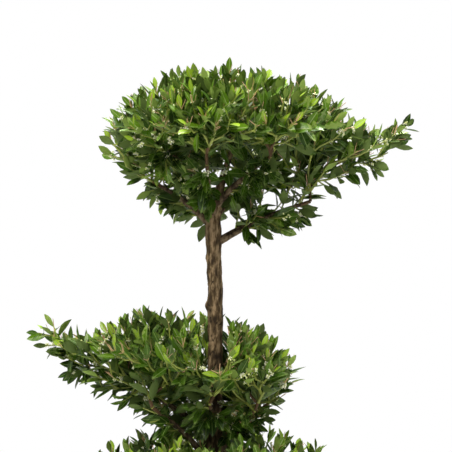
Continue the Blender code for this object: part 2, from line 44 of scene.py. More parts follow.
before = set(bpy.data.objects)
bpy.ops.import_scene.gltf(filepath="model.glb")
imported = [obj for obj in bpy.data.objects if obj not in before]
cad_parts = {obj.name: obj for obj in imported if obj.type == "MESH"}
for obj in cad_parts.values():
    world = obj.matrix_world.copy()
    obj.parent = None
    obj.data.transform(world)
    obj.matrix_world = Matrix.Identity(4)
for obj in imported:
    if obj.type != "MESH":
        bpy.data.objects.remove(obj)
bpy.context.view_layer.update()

UP = np.array((0.0, 0.0, 1.0))
FRINGE = 0.034  # how high a tier's long shoots stand over its rim, near the trunk
LONG_SHOOT_RISE = 0.16  # how steeply long shoots rise where they stand out of the round rim

# Trunk
TRUNK_HEIGHT = 0.584  # to the tip of the leader, inside the top tier
TOP_FORK = 0.500  # height where the top whorl opens
TRUNK_FOOT_RADIUS = 0.0106
TRUNK_FORK_RADIUS = 0.0078
TRUNK_TIP_RADIUS = 0.0030
FLARE = 0.0075  # how far the roots swell the foot
FLARE_HEIGHT = 0.016
LEADER_LEAN = 0.021  # how far the leader leans towards +X above the fork
LEADER_SHARE = 0.86  # the leader's radius above the top fork, against the trunk's below it
FORK_BLEND = 0.026  # height over which the trunk narrows at the top fork
LEADER_LEAN_POWER = 1.3
LEADER_TAPER_POWER = 0.8
ROOT_SWELL = 0.62  # even share of the flare, the lobes of the roots come on top
ROOT_LOBES = ((3, 0.30, 0.7), (5, 0.18, 2.0))  # lobes round the trunk, their share and turn
FORK_SWELL = 0.0005  # how far the trunk swells over the start of a bough
FORK_SWELL_HEIGHT = 0.012
FORK_SWELL_LIFT = 0.006  # from the start of the bough up to the middle of the swelling
MOST_FORKS = 2.0  # swellings that lie together add up to this many at most
RIBS = 4
RIB_DEPTH = 0.03  # against the trunk's radius
RIB_TWIST = 26  # turn of the ribs in radians over a metre
LUMP_DEPTH = 0.0005
LUMP_HEIGHT = 0.018
TRUNK_SWAY = 0.0016
SWAY_PERIOD = 0.31  # height of one whole sway
SWAY_START = 0.05  # height over which the sway sets in
SIDE_SWAY = 0.6  # sway towards +Y against that towards +X
TRUNK_SIDES = 120
TRUNK_RINGS = 560
TRUNK_RUN_ENDS = 24  # of the straight runs that foliage is kept off
TRUNK_SEED = 11
TRUNK_CRACKS = 13  # round the trunk

# Boughs
BOUGH_TIP_RADIUS = 0.0021
BOUGH_BOW = 0.35  # how much steeper a bough leaves the trunk than it ends
BOUGH_SWAY = 0.0022
BOUGH_TAPER_POWER = 0.7
BOUGH_SIDES = 20
BOUGH_RINGS = 64
BOUGH_RUN_ENDS = 5
BOUGH_SEED = 200
BOUGH_SEED_STEP = 10
BOUGH_CRACKS = 5

# Relief of the bark, as shares of its depth and heights in metres
BARK_WANDER = 0.035  # how far the cracks stray round the limb, in turns
WANDER_HEIGHT = 0.030
CRACK_HEIGHT = 0.016
CRACK_EDGE = 0.80  # the nearer to 1, the narrower the cracks
FINE_CRACK_HEIGHT = 0.0065
FINE_CRACK_EDGE = 0.75
FINE_CRACK_SHARE = 0.55
CRACK_POWER = 1.5
PATCH_HEIGHT = 0.022  # of patches where the cracks are open or nearly closed
PATCH_MEAN = 0.65
PATCH_SPAN = 0.9
CLOSED_FINE_SHARE = 0.4  # share of the fine cracks that stays where the bark is closed
PLATE_HEIGHT = 0.008
PLATE_SHARE = 0.34
GRAIN_HEIGHT = 0.0016
GRAIN_SHARE = 0.16
BOUGH_RELIEF = 0.45  # depth of a bough's cracks against the trunk's

# Twigs
TWIG_TIP_RADIUS = 0.00092
TWIG_STEP = 0.011  # length of wood between two bends of a twig
TWIG_SIDES = 5
TWIG_FOOT_SHARE = 0.8  # thickness of a twig's foot against the wood that it stands on
TWIG_TIP_SHARE = 0.7  # thickness of a twig's very tip against its youngest wood
GREEN_WOOD_RADIUS = 0.00165  # thinner wood is green
STEM_RUN = 0.012
STEM_SUNK = 0.001  # how deep a stem starts in its bough
PATH_SHARE = 0.42  # weight of the way back to the stem when a twig picks its parent
TURN_COST = 0.6  # weight of the turn into a twig when it picks its parent
CROWDED_COST = 1.0  # keeps a twig off a parent that is nearer than one step
BEND_SHARE = 0.45  # share of a twig's length at which it bends
BEND_AHEAD = 1.2  # pull of the target on the bend, against the parent's own way
FAN_SHARE = 1.1  # how strongly shoots fan out from their stem
DOME_RISE = 1.9  # how steeply shoots turn up from bowl to dome
BOWL_DROP = 0.35  # how far shoots at the bowl turn down
ARRIVAL_SHARE = 0.7  # how far a shoot keeps the way of the twig that it ends
TIP_UPTURN = 0.12
SHOOT_LENGTH = 0.020
WOOD_SLACK = 0.004  # how far a twig may stand out of its pad
LIMB_CLEARANCE = 0.0006
PARENT_TRIES = 5
CANDIDATES = 24000  # places among which the shoots of a mass are spread
LEAST_OUTWARD = 0.01  # squared share of the reach inside which no shoot ends
LEAST_SPREAD = 0.006  # between the tips of two shoots
LEAST_LIFT = 0.15  # shoots keep this share of the pad's thickness off the bowl

# Clipped stubs at the shoots' tips
STUB_SHARE = 0.75  # share of the shoots in the dome that carry bare clipped stubs
STUB_RISE = 0.35  # stubs stand only on shoots that rise at least this steeply
STUB_COUNTS = (2, 5)  # from, and up to but without
STUB_LENGTHS = (0.007, 0.015)
STUB_SPAN = 0.008  # length of shoot behind its tip that stubs stand on
STUB_LEAN = 0.42
STUB_UPTURN = 0.25
STUB_RADII = (0.00050, 0.00032)
STUB_SIDES = 4

# The open front, through which trunk and boughs show
NOTCH_WIDTH = 0.015  # half width of the opening that shows the trunk in front of the middle tier
NOTCH_FOOT = 0.350
LOW_LEAF_SHARE = 0.60  # share of the leaves that stay at the very bottom of a pad
FRONT_LEAF_SHARE = 0.12  # the same at the front
FULL_LEAF_LIFT = 0.70  # share of a pad's thickness above which all leaves stay
FRONT_DEPTH = 0.050  # how far before the trunk's axis the front's openness is full
FRONT_LIFT = 0.28  # further share of the pad's thickness that front shoots keep off the bowl

# Leaves
LEAVES_PER_SHOOT = 11
LEAF_SPACING = 0.0040
SPACING_POWER = 1.08  # the spacing widens a little away from the tip
SPACING_JITTER = 0.001
AXIL_BARE = 0.002  # length of each twig at its foot that stays bare
TIP_ROOM = 0.014  # room that a shoot keeps for the leaves ahead of its tip
LEAF_SLACK = 0.006  # how far leaves may stand out of their pad
TIP_CLEARANCE = 0.0015  # between a leaf's tip and a limb
BLADE_CLEARANCE = 0.0010
GOLDEN_TURN = math.radians(137.5)
TURN_JITTER = 0.25
FOLDED_SPREAD = 17  # degrees between the youngest leaf and its shoot
OPEN_SPREAD = 50  # degrees that the oldest leaf opens further
SPREAD_POWER = 0.75
SPREAD_JITTER = 0.12
LEAF_UPTURN = 0.10
FACE_UPTURN = 0.45  # how far leaves turn their faces to the sky
FACE_JITTER = 0.16
YOUNGEST_SIZE = 0.62  # length of the youngest leaf against a full-grown one
SIZE_GAIN = 0.46
SIZE_RATE = 2.6  # how fast size is gained with age
LEAF_SIZES = (0.86, 1.10)
HANG = 0.45  # how far the leaves of side sprays hang
HANG_FACE = 0.3
HANGING_AGES = (0.35, 0.9)  # from 0, young, to 1, old
LEAF_THICKNESS = 0.00034
RIB_SHARE = 0.075  # width of the midrib against the blade's
LEAF_WIDTHS = (0.84, 1.12)
FOLDS = (0.10, 0.42)  # how far the rims stand up, against the half width
CURLS = (-0.02, 0.16)  # how far the tip hangs, against the length
TWIST = 0.22
SPRAY_TONE = 0.45  # how far whole sprays differ in tone
TONE_JITTER = 0.10
TONE_STEPS = (0.34, 0.68, 0.98)  # youth at which a leaf is mature, fresh and young

# Side sprays
SPRAY_START = 0.24  # share of a bough's length where its side sprays begin
SPRAY_SPACING = 0.0070
SPRAY_LENGTHS = (0.014, 0.026)
SPRAY_PLACES = (0.2, 0.8)  # where a spray stands within its share of the limb
SPRAY_JOINTS = (0.34, 0.67, 1.0)  # shares of a spray's length
SPRAY_FORWARD = 0.9  # how far sprays lean towards the bough's tip
SPRAY_UPTURN = 0.10
SPRAY_SLACK = 0.020  # how far side sprays may hang out of the pad
HANGING_TURNS = (-2.6, 0.35)  # sideways and down
ALL_TURNS = (-2.9, 3.0)
ODD_TURN = 0.4  # every other spray turns this much further
EVEN_TURN = -0.1
CLAD_LIFT = 0.10  # boughs whose tips lie lower than this in the pad are clad with sprays all round
CLAD_SPACING = 0.0032
CLAD_SIZE = 1.35  # length of the sprays that clothe such a bough, against the others'
LONG_SPACING = 0.0080  # between the sprays along a long shoot
LONG_SHOOT_EXTRA = 0.015  # how far a shoot must stand out of the round rim to carry side sprays

# The cells that the masses of a tier share out among them
CELL_MARGIN = 0.0004
CELL_SLACK = 0.005  # how far leaves of neighbouring masses may mingle

# Blossom
CLUSTERS_PER_SHOOT = 2
FLOWERS_PER_CLUSTER = 3
CLUSTER_SPAN = 0.013  # length of shoot behind its tip that carries clusters
CLUSTER_SPREAD = (0.0022, 0.0050)  # from the shoot to a flower's middle
FLOWER_SIZES = (0.7, 1.1)
OPEN_SHARE = 0.6  # share of the flowers that are open, the others are buds
FLOWER_FORWARD = 0.8  # how far flowers lean towards the shoot's tip
FLOWER_UPTURN = 0.5
HEART_RISE = 0.0006
PETALS = 4
PETAL_TURN = 0.4
# Shares of a flower's half width
HEART_WIDTH = 0.45
HEART_HEIGHT = 0.6
PETAL_REACH = 0.62  # from the flower's middle to the petal's
PETAL_LENGTH = 0.62
PETAL_WIDTH = 0.46
PETAL_HEIGHT = 0.18
PETAL_TILT = 0.05

# Seeds of the foliage, each mass adds its own number
WOOD_SEED = 1000
LEAF_SEED = 3000
BLOSSOM_SEED = 5000

# Edges sharper than these angles in degrees are shaded as edges
TWIG_EDGE = 60
LEAF_EDGE = 70
FLOOR_EDGE = 30

# Stage
FLOOR_RADIUS = 1.5
FLOOR_SIDES = 96
FLOOR_TOP = -0.0005  # just under the trunk's foot
FLOOR_THICKNESS = 0.010
LIGHT_TARGET = (0.0, 0.0, 0.45)
SENSOR_WIDTH = 36.0
VIEW_END = 50.0
# Lights: name, place, size, power in watts, colour
LIGHTS = (
    ("key_light", (-0.8, -1.3, 2.1), 0.9, 54.0, (1.0, 0.98, 0.93)),
    ("top_light", (0.3, 0.5, 2.2), 0.7, 62.0, (1.0, 1.0, 0.95)),
    ("fill_light", (1.5, -1.2, 0.9), 1.0, 4.0, (1.0, 1.0, 1.0)),
)
# Brightness of the surroundings: share of the way from straight down to straight up, grey
SURROUNDINGS = ((0.0, 0.03), (0.45, 0.08), (0.60, 0.26), (1.0, 0.8))


@dataclass
class Tier:
    """A pad of foliage round the trunk: a bowl below its rim and a dome above."""

    foot: float  # height where the bowl meets the trunk
    rim: float  # height of the rim at the trunk's axis
    apex: float  # height of the dome's top at the trunk's axis
    reach: float  # mean radius of the rim
    shift: float  # how far the rim lies towards +X
    tilt: float  # how steeply the rim rises towards +X
    bowl: float  # power of the bowl's curve
    dome: float  # power of the dome's curve
    long_shoots: tuple  # azimuth in degrees, extra reach and half width in degrees of each group


@dataclass
class Bough:
    """One limb, and the mass of foliage at its end."""

    name: str
    tier: str
    azimuth: float  # degrees
    fork: float  # height where it leaves the trunk
    share: float  # of the tier's reach, where it ends
    lift: float  # of the way from bowl to dome, where it ends
    foot_radius: float
    shoots: int
    heart: float = 0.66  # share of the reach, in the middle of its mass
    heart_lift: float = 0.55


TIERS = {
    "top": Tier(
        0.478, 0.594, 0.682, 0.150, 0.018, 0.03, 1.5, 1.9, ((-4, 0.060, 11), (150, 0.006, 20))
    ),
    "middle": Tier(
        0.234, 0.346, 0.409, 0.124, -0.020, -0.17, 1.5, 2.0, ((180, 0.057, 12),)
    ),
    "bottom": Tier(
        0.092, 0.212, 0.286, 0.162, -0.006, 0.02, 1.5, 2.0, ((205, 0.016, 16), (20, 0.012, 16))
    ),
}

BOUGHS = (
    Bough("top_left_low", "top", 174, 0.497, 0.44, 0.20, 0.0046, 46),
    Bough("top_left_high", "top", 214, 0.523, 0.42, 0.42, 0.0045, 46),
    Bough("top_front", "top", 264, 0.508, 0.42, 0.30, 0.0038, 50),
    Bough("top_right_high", "top", 316, 0.520, 0.46, 0.34, 0.0045, 50),
    Bough("top_right_low", "top", -4, 0.479, 0.42, 0.08, 0.0052, 56),
    Bough("top_back_right", "top", 56, 0.505, 0.42, 0.26, 0.0042, 46),
    Bough("top_back_left", "top", 116, 0.487, 0.42, 0.20, 0.0044, 46),
    Bough("middle_left_long", "middle", 180, 0.264, 0.36, 0.36, 0.0046, 46),
    Bough("middle_left_low", "middle", 214, 0.232, 0.50, 0.16, 0.0044, 40),
    Bough("middle_front", "middle", 266, 0.276, 0.42, 0.30, 0.0040, 44, 0.62, 0.45),
    Bough("middle_right_front", "middle", 318, 0.258, 0.46, 0.22, 0.0038, 40),
    Bough("middle_right", "middle", 4, 0.240, 0.50, 0.22, 0.0044, 38),
    Bough("middle_back_right", "middle", 62, 0.270, 0.44, 0.24, 0.0040, 36),
    Bough("middle_back_left", "middle", 124, 0.246, 0.44, 0.24, 0.0042, 36),
    Bough("bottom_left", "bottom", 192, 0.100, 0.44, 0.24, 0.0048, 44),
    Bough("bottom_front_left", "bottom", 244, 0.124, 0.42, 0.26, 0.0044, 44),
    Bough("bottom_front_right", "bottom", 304, 0.096, 0.44, 0.22, 0.0046, 44),
    Bough("bottom_right", "bottom", 6, 0.118, 0.44, 0.24, 0.0048, 44),
    Bough("bottom_back_right", "bottom", 66, 0.094, 0.44, 0.24, 0.0045, 44),
    Bough("bottom_back_left", "bottom", 130, 0.120, 0.44, 0.24, 0.0045, 44),
)
LEADER = "top_leader"
LEADER_SHOOTS = 50
LEADER_HEART = (0.022, 0.0, 0.634)

# Pruned stubs and burrs on the bare trunk: height, azimuth, how far they stand out, half width
BURRS = (
    (0.4125, 180, 0.0030, 0.0050),
    (0.465, 186, 0.0018, 0.0040),
    (0.432, 250, 0.0010, 0.0034),
    (0.398, 300, 0.0009, 0.0045),
    (0.384, 200, 0.0008, 0.0040),
)


def unit(vector):
    return vector / np.linalg.norm(vector)


def units(rows):
    return rows / np.maximum(np.linalg.norm(rows, axis=-1, keepdims=True), 1e-9)


def heading(azimuth):
    """The level direction at an azimuth in degrees, counted from +X towards +Y."""
    angle = math.radians(azimuth)
    return np.array((math.cos(angle), math.sin(angle), 0.0))


NEARLY_UP = UP + 0.1 * heading(20)  # leans a little, so that no limb is parallel to it


def turn_between(angle, azimuth):
    """Turn in radians from an azimuth in degrees to an angle in radians, from -pi to pi."""
    return (angle - math.radians(azimuth) + math.pi) % math.tau - math.pi


def path_lengths(line):
    """Length along a line of points, up to each of them."""
    return np.concatenate(([0], np.cumsum(np.linalg.norm(np.diff(line, axis=0), axis=1))))


def along_line(line, path, at):
    """The points at some lengths along a line."""
    return np.stack([np.interp(at, path, line[:, axis]) for axis in range(3)], axis=-1)


# The spaces that the foliage keeps to


def round_reach(tier, angle):
    """Radius of a tier's rim without its long shoots, in the direction of an angle in radians."""
    return tier.reach + tier.shift * np.cos(angle)


def rim_reach(tier, angle):
    """Radius of a tier's rim in the direction of an angle in radians."""
    reach = round_reach(tier, angle)
    for azimuth, extra, width in tier.long_shoots:
        turn = turn_between(angle, azimuth)
        reach = reach + extra * np.exp(-((turn / math.radians(width)) ** 2))
    return reach


def pad_span(tier, x, y):
    """(bowl height, dome height, share of the reach) over points of the ground."""
    angle = np.arctan2(y, x)
    outward = np.hypot(x, y)
    share = outward / rim_reach(tier, angle)
    inside = np.minimum(share, 1.0)
    rim_here = round_reach(tier, angle)
    under_dome = np.minimum(outward / rim_here, 1.0)
    rim = tier.rim + tier.tilt * x + LONG_SHOOT_RISE * np.maximum(0.0, outward - rim_here)
    low = tier.foot + (rim - tier.foot) * inside**tier.bowl
    dome = (tier.apex - tier.rim) * (1 - under_dome**tier.dome) ** (1 / tier.dome)
    fringe = FRINGE * (1 - inside**2)
    return low, rim + np.maximum(dome, fringe), share


def in_pad(tier, points, slack):
    """Which of these points lie in the tier's pad, or within a slack of it."""
    low, high, share = pad_span(tier, points[:, 0], points[:, 1])
    z = points[:, 2]
    return (share <= 1 + slack / tier.reach) & (low - slack <= z) & (z <= high + slack)


def place_in_pad(tier, azimuth, share, lift):
    """The point at a share of the reach, and a share of the way from bowl to dome."""
    flat = heading(azimuth) * share * rim_reach(tier, math.radians(azimuth))
    low, high, _ = pad_span(tier, flat[0], flat[1])
    return flat + UP * (low + (high - low) * lift)


class Space:
    """Where one mass may grow: its tier's pad, its own cell among the hearts, clear of the limbs."""

    def __init__(self, tier, heart, others, limbs):
        self.tier = tier
        self.middle = heart
        self.normals = np.array([unit(other - heart) for other in others])
        halfway = (np.array(others) + heart) / 2
        self.limits = np.einsum("ij,ij->i", halfway, self.normals) - CELL_MARGIN
        self.starts, self.ends, self.radii = limbs

    def holds(self, points, slack, mingle=0.0):
        """Which of these points lie in the space, with a slack at the pad's outside."""
        in_cell = np.all(points @ self.normals.T <= self.limits + mingle, axis=1)
        return in_cell & in_pad(self.tier, points, slack) & ~self.in_notch(points)

    def in_notch(self, points):
        """Which of these points would hide the trunk where it rises in front of the middle tier."""
        if self.tier is not TIERS["middle"]:
            return np.zeros(len(points), dtype=bool)
        in_front = (points[:, 1] < 0) & (points[:, 2] > NOTCH_FOOT)
        return in_front & (np.abs(points[:, 0]) < NOTCH_WIDTH)

    def off_limbs(self, points, clearance):
        """Which of these points lie outside every limb."""
        run = self.ends - self.starts
        back = points[:, None, :] - self.starts[None]
        t = np.clip(np.einsum("nij,ij->ni", back, run) / np.einsum("ij,ij->i", run, run), 0, 1)
        apart = np.linalg.norm(back - t[..., None] * run[None], axis=2)
        return np.all(apart > self.radii + clearance, axis=1)


# Limbs


def trunk_centre(height):
    """The trunk's axis: nearly plumb, swaying a little, with a leaning leader."""
    sway = TRUNK_SWAY * math.sin(math.tau * height / SWAY_PERIOD) * min(1.0, height / SWAY_START)
    rise = max(0.0, (height - TOP_FORK) / (TRUNK_HEIGHT - TOP_FORK))
    return np.array((sway + LEADER_LEAN * rise**LEADER_LEAN_POWER, SIDE_SWAY * sway, height))


def taper(height):
    """The trunk's radius on its even taper below the top fork."""
    return TRUNK_FOOT_RADIUS + (TRUNK_FORK_RADIUS - TRUNK_FOOT_RADIUS) * height / TOP_FORK


def trunk_radius(height):
    """An even taper up to the top fork, that blends there into the thinner leader."""
    rise = max(0.0, (height - TOP_FORK) / (TRUNK_HEIGHT - TOP_FORK))
    leader = TRUNK_FORK_RADIUS * LEADER_SHARE
    leader = leader + (TRUNK_TIP_RADIUS - leader) * rise**LEADER_TAPER_POWER
    radius = taper(min(TOP_FORK, height))
    blend = min(1.0, max(0.0, 0.5 + (height - TOP_FORK) / FORK_BLEND))
    return radius + (leader - radius) * blend * blend * (3 - 2 * blend)


def bough_line(bough, rings=BOUGH_RUN_ENDS):
    """(points, radii) of a bough, from the trunk's axis to its tip."""
    start = trunk_centre(bough.fork)
    tip = place_in_pad(TIERS[bough.tier], bough.azimuth, bough.share, bough.lift)
    along = tip - start
    sideways = np.cross(UP, unit(along * (1, 1, 0)))
    phase = math.radians(3 * bough.azimuth)
    points = []
    radii = []
    for t in np.linspace(0, 1, rings):
        bow = BOUGH_BOW * t * (1 - t) * along[2]
        sway = BOUGH_SWAY * math.sin(math.tau * t + phase) * math.sin(math.pi * t)
        points.append(start + along * t + UP * bow + sideways * sway)
        radii.append(bough.foot_radius + (BOUGH_TIP_RADIUS - bough.foot_radius) * t**BOUGH_TAPER_POWER)
    return points, radii


def limb_runs():
    """All limbs as straight runs: (starts, ends, radii)."""
    runs = []
    heights = np.linspace(0, TRUNK_HEIGHT, TRUNK_RUN_ENDS)
    for low, high in zip(heights, heights[1:]):
        runs.append((trunk_centre(low), trunk_centre(high), trunk_radius(low)))
    for bough in BOUGHS:
        points, radii = bough_line(bough)
        runs += list(zip(points[:-1], points[1:], radii))
    return [np.array(column) for column in zip(*runs)]


# Relief of the bark


def grid_noise(around, height, cells_around, cell_height, seed):
    """Smooth noise from -1 to 1 that closes round a limb. The first coordinate counts whole turns."""
    u = (around % 1.0) * cells_around
    v = height / cell_height
    rows = int(np.max(v)) + 3
    grid = np.random.default_rng(seed).uniform(-1, 1, (cells_around, rows))
    u0 = np.floor(u).astype(int) % cells_around
    v0 = np.floor(v).astype(int)
    fu = u - np.floor(u)
    fv = v - np.floor(v)
    fu = fu * fu * (3 - 2 * fu)
    fv = fv * fv * (3 - 2 * fv)
    u1 = (u0 + 1) % cells_around
    low = grid[u0, v0] * (1 - fu) + grid[u1, v0] * fu
    high = grid[u0, v0 + 1] * (1 - fu) + grid[u1, v0 + 1] * fu
    return low * (1 - fv) + high * fv


def cracks(noise, edge):
    """Depth of cracks from 0 to 1, along the lines where a noise changes its sign."""
    return np.clip((1 - np.abs(noise) - edge) / (1 - edge), 0, 1) ** CRACK_POWER


def bark_relief(around, height, seed, cells):
    """(relief from about -1 to 1, depth of the fissures from 0 to 1) of bark with lengthwise cracks."""
    wander = around + BARK_WANDER * grid_noise(around, height, 4, WANDER_HEIGHT, seed)
    crack = cracks(grid_noise(wander, height, cells, CRACK_HEIGHT, seed + 1), CRACK_EDGE)
    fine = cracks(grid_noise(wander, height, cells * 2, FINE_CRACK_HEIGHT, seed + 2), FINE_CRACK_EDGE)
    patches = grid_noise(around, height, 5, PATCH_HEIGHT, seed + 3)
    openness = np.clip(PATCH_MEAN + PATCH_SPAN * patches, 0, 1)
    plates = grid_noise(around, height, cells + 3, PLATE_HEIGHT, seed + 4)
    grain = grid_noise(around, height, cells * 5, GRAIN_HEIGHT, seed + 5)
    fine = fine * (CLOSED_FINE_SHARE + (1 - CLOSED_FINE_SHARE) * openness)
    fissure = np.clip(crack * openness + FINE_CRACK_SHARE * fine, 0, 1)
    return PLATE_SHARE * plates + GRAIN_SHARE * grain - fissure, fissure


# Mesh making


def mesh_piece(name, points, faces, slots, materials, sharp=None):
    """A shaded mesh object from arrays, with a material slot for each face."""
    mesh = bpy.data.meshes.new(name)
    mesh.from_pydata(np.asarray(points).tolist(), [], faces)
    for material in materials:
        mesh.materials.append(material)
    mesh.polygons.foreach_set("material_index", np.asarray(slots, dtype=np.int32))
    mesh.polygons.foreach_set("use_smooth", np.ones(len(mesh.polygons), dtype=bool))
    if sharp:
        mesh.set_sharp_from_angle(angle=math.radians(sharp))
    mesh.update()
    piece = bpy.data.objects.new(name, mesh)
    bpy.context.scene.collection.objects.link(piece)
    return piece


class Parts:
    """The points, faces and material slots of many shapes that are joined into one mesh."""

    def __init__(self):
        self.points = []
        self.faces = []
        self.slots = []
        self.count = 0

    def add(self, points, faces, slots):
        """Adds a shape, whose faces count its own points from 0."""
        points = np.reshape(points, (-1, 3))
        self.points.append(points)
        self.faces += [tuple(self.count + corner for corner in corners) for corners in faces]
        self.slots += slots
        self.count += len(points)

    def piece(self, name, materials, sharp=None):
        """The shapes as one mesh object."""
        if not self.points:
            raise RuntimeError("nothing grew for " + name)
        return mesh_piece(name, np.concatenate(self.points), self.faces, self.slots, materials, sharp)


def ring_faces(rings, sides):
    """Quads of a tube through rings of points, and a polygon that closes each end."""
    faces = []
    for ring in range(rings - 1):
        low = ring * sides
        for side in range(sides):
            beside = (side + 1) % sides
            faces.append((low + side, low + beside, low + sides + beside, low + sides + side))
    faces.append(tuple(reversed(range(sides))))
    last = (rings - 1) * sides
    faces.append(tuple(range(last, last + sides)))
    return faces


def lobe_faces():
    """The faces of an octahedron: four points round its middle, then the one above and below."""
    faces = []
    for side in range(4):
        beside = (side + 1) % 4
        faces += [(side, beside, 4), (beside, side, 5)]
    return faces


LOBE_FACES = lobe_faces()


def tube_rings(line, radii, sides):
    """Rings of points round a line, without twist: (rings, sides, 3)."""
    line = np.asarray(line)
    ways = units(np.gradient(line, axis=0))
    across = unit(np.cross(ways[0], NEARLY_UP))
    turns = np.arange(sides) * math.tau / sides
    rings = []
    for point, way, radius in zip(line, ways, radii):
        across = unit(across - way * np.dot(across, way))
        other = np.cross(way, across)
        rings.append(point + radius * (np.outer(np.cos(turns), across) + np.outer(np.sin(turns), other)))
    return np.array(rings)


# Growth of the foliage


class Twigs:
    """The wood of one mass: joints, each with its parent, in chains that branch off one another."""

    def __init__(self, start, along):
        self.points = [start, start + along * STEM_RUN]
        self.parents = [0, 0]
        self.paths = [0.0, STEM_RUN]
        self.ways = [along, along]
        self.chains = [[0, 1]]
        self.side_chains = set()

    def best_parents(self, target):
        """The joints nearest to a target, reckoned with its turn and a share of its way to the stem."""
        away = target - np.array(self.points[1:])
        distance = np.maximum(np.linalg.norm(away, axis=1), 1e-6)
        turn = 1 - np.einsum("ij,ij->i", away / distance[:, None], np.array(self.ways[1:]))
        cost = distance * (1 + TURN_COST * turn) + PATH_SHARE * np.array(self.paths[1:])
        cost = cost + np.where(distance < TWIG_STEP, CROWDED_COST, 0.0)
        return [1 + int(place) for place in np.argsort(cost)[:PARENT_TRIES]]

    def curve(self, parent, target):
        """Points of a bent twig that leaves its parent's way and ends at the target."""
        start = self.points[parent]
        distance = np.linalg.norm(target - start)
        bend_way = unit(self.ways[parent] + BEND_AHEAD * unit(target - start))
        bend = start + BEND_SHARE * distance * bend_way
        steps = max(1, round(distance / TWIG_STEP))
        shares = [step / steps for step in range(1, steps + 1)]
        return [(1 - t) ** 2 * start + 2 * t * (1 - t) * bend + t * t * target for t in shares]

    def grow(self, parent, points):
        """Adds a chain of joints that branches off a parent."""
        chain = [parent]
        for point in points:
            run = point - self.points[chain[-1]]
            length = float(np.linalg.norm(run))
            self.parents.append(chain[-1])
            self.paths.append(self.paths[chain[-1]] + length)
            self.ways.append(run / length)
            self.points.append(point)
            chain.append(len(self.points) - 1)
        self.chains.append(chain)

    def add_spray(self, spot, points):
        """Adds a short chain of its own that starts on the bough behind the stem."""
        self.points.append(spot)
        self.parents.append(0)
        self.paths.append(0.0)
        self.ways.append(unit(points[0] - spot))
        self.side_chains.add(len(self.chains))
        self.grow(len(self.points) - 1, points)

    def radii(self, stem_radius):
        """Radius at each joint, from the number of tips that it carries."""
        tips = [0] * len(self.points)
        for chain in self.chains[1:]:
            joint = chain[-1]
            while joint:
                tips[joint] += 1
                joint = self.parents[joint]
        tips[0] = max(tips[1], 1)
        power = math.log(stem_radius / TWIG_TIP_RADIUS) / math.log(max(tips[0], 2))
        return [TWIG_TIP_RADIUS * max(count, 1) ** power for count in tips]


def shoot_ways(tier, points, stem):
    """The way of a shoot at each point: away from the stem, up in the dome, level in the bowl."""
    low, high, share = pad_span(tier, points[:, 0], points[:, 1])
    lift = (points[:, 2] - low) / (high - low)
    flat = points * (1, 1, 0) / np.linalg.norm(points[:, :2], axis=1)[:, None]
    away = units(points - stem)
    ways = FAN_SHARE * away + flat * share[:, None] + UP * (DOME_RISE * lift - BOWL_DROP)[:, None]
    return units(ways)


def front_share(points):
    """How much each point belongs to the open front of the plant, from 0 to 1."""
    return np.clip(-points[:, 1] / FRONT_DEPTH, 0, 1)


def shoot_targets(space, stem, count, dice):
    """(place, way) of each shoot, with their tips spread evenly through a space."""
    angles = dice.uniform(0, math.tau, CANDIDATES)
    outward = np.sqrt(dice.uniform(LEAST_OUTWARD, 1, CANDIDATES)) * rim_reach(space.tier, angles)
    flat = np.column_stack((outward * np.cos(angles), outward * np.sin(angles)))
    low, high, _ = pad_span(space.tier, flat[:, 0], flat[:, 1])
    least = LEAST_LIFT + FRONT_LIFT * front_share(flat)
    lift = least + (1 - least) * dice.uniform(0, 1, CANDIDATES)
    pool = np.column_stack((flat, low + (high - low) * lift))
    pool = pool[space.holds(pool, 0.0)]
    ways = shoot_ways(space.tier, pool, stem)
    tips = pool + ways * (SHOOT_LENGTH + TIP_ROOM)
    inside = space.holds(tips, 0.0, CELL_SLACK)
    pool, ways, tips = pool[inside], ways[inside], tips[inside]
    nearest = np.linalg.norm(tips - space.middle, axis=1)
    chosen = []
    while len(chosen) < count and np.max(nearest) > LEAST_SPREAD:
        chosen.append(int(np.argmax(nearest)))
        nearest = np.minimum(nearest, np.linalg.norm(tips - tips[chosen[-1]], axis=1))
    return [(pool[place], ways[place]) for place in chosen]


def grow_wood(space, start, along, count, dice):
    """The stem of a mass with its twigs, each of which ends in a leafy shoot."""
    wood = Twigs(start, along)
    targets = shoot_targets(space, wood.points[1], count, dice)
    targets.sort(key=lambda target: np.linalg.norm(target[0] - wood.points[1]))
    for target, way in targets:
        for parent in wood.best_parents(target):
            line = wood.curve(parent, target)
            arrival = unit(line[-1] - ([wood.points[parent]] + line)[-2])
            tip_way = unit(way + ARRIVAL_SHARE * arrival)
            run = line + [line[-1] + tip_way * SHOOT_LENGTH * 0.5]
            run.append(run[-1] + unit(tip_way + TIP_UPTURN * UP) * SHOOT_LENGTH * 0.5)
            points = np.array(run)
            free = space.holds(points, WOOD_SLACK, CELL_SLACK) & space.off_limbs(points, LIMB_CLEARANCE)
            if np.all(free):
                wood.grow(parent, run)
                break
    return wood


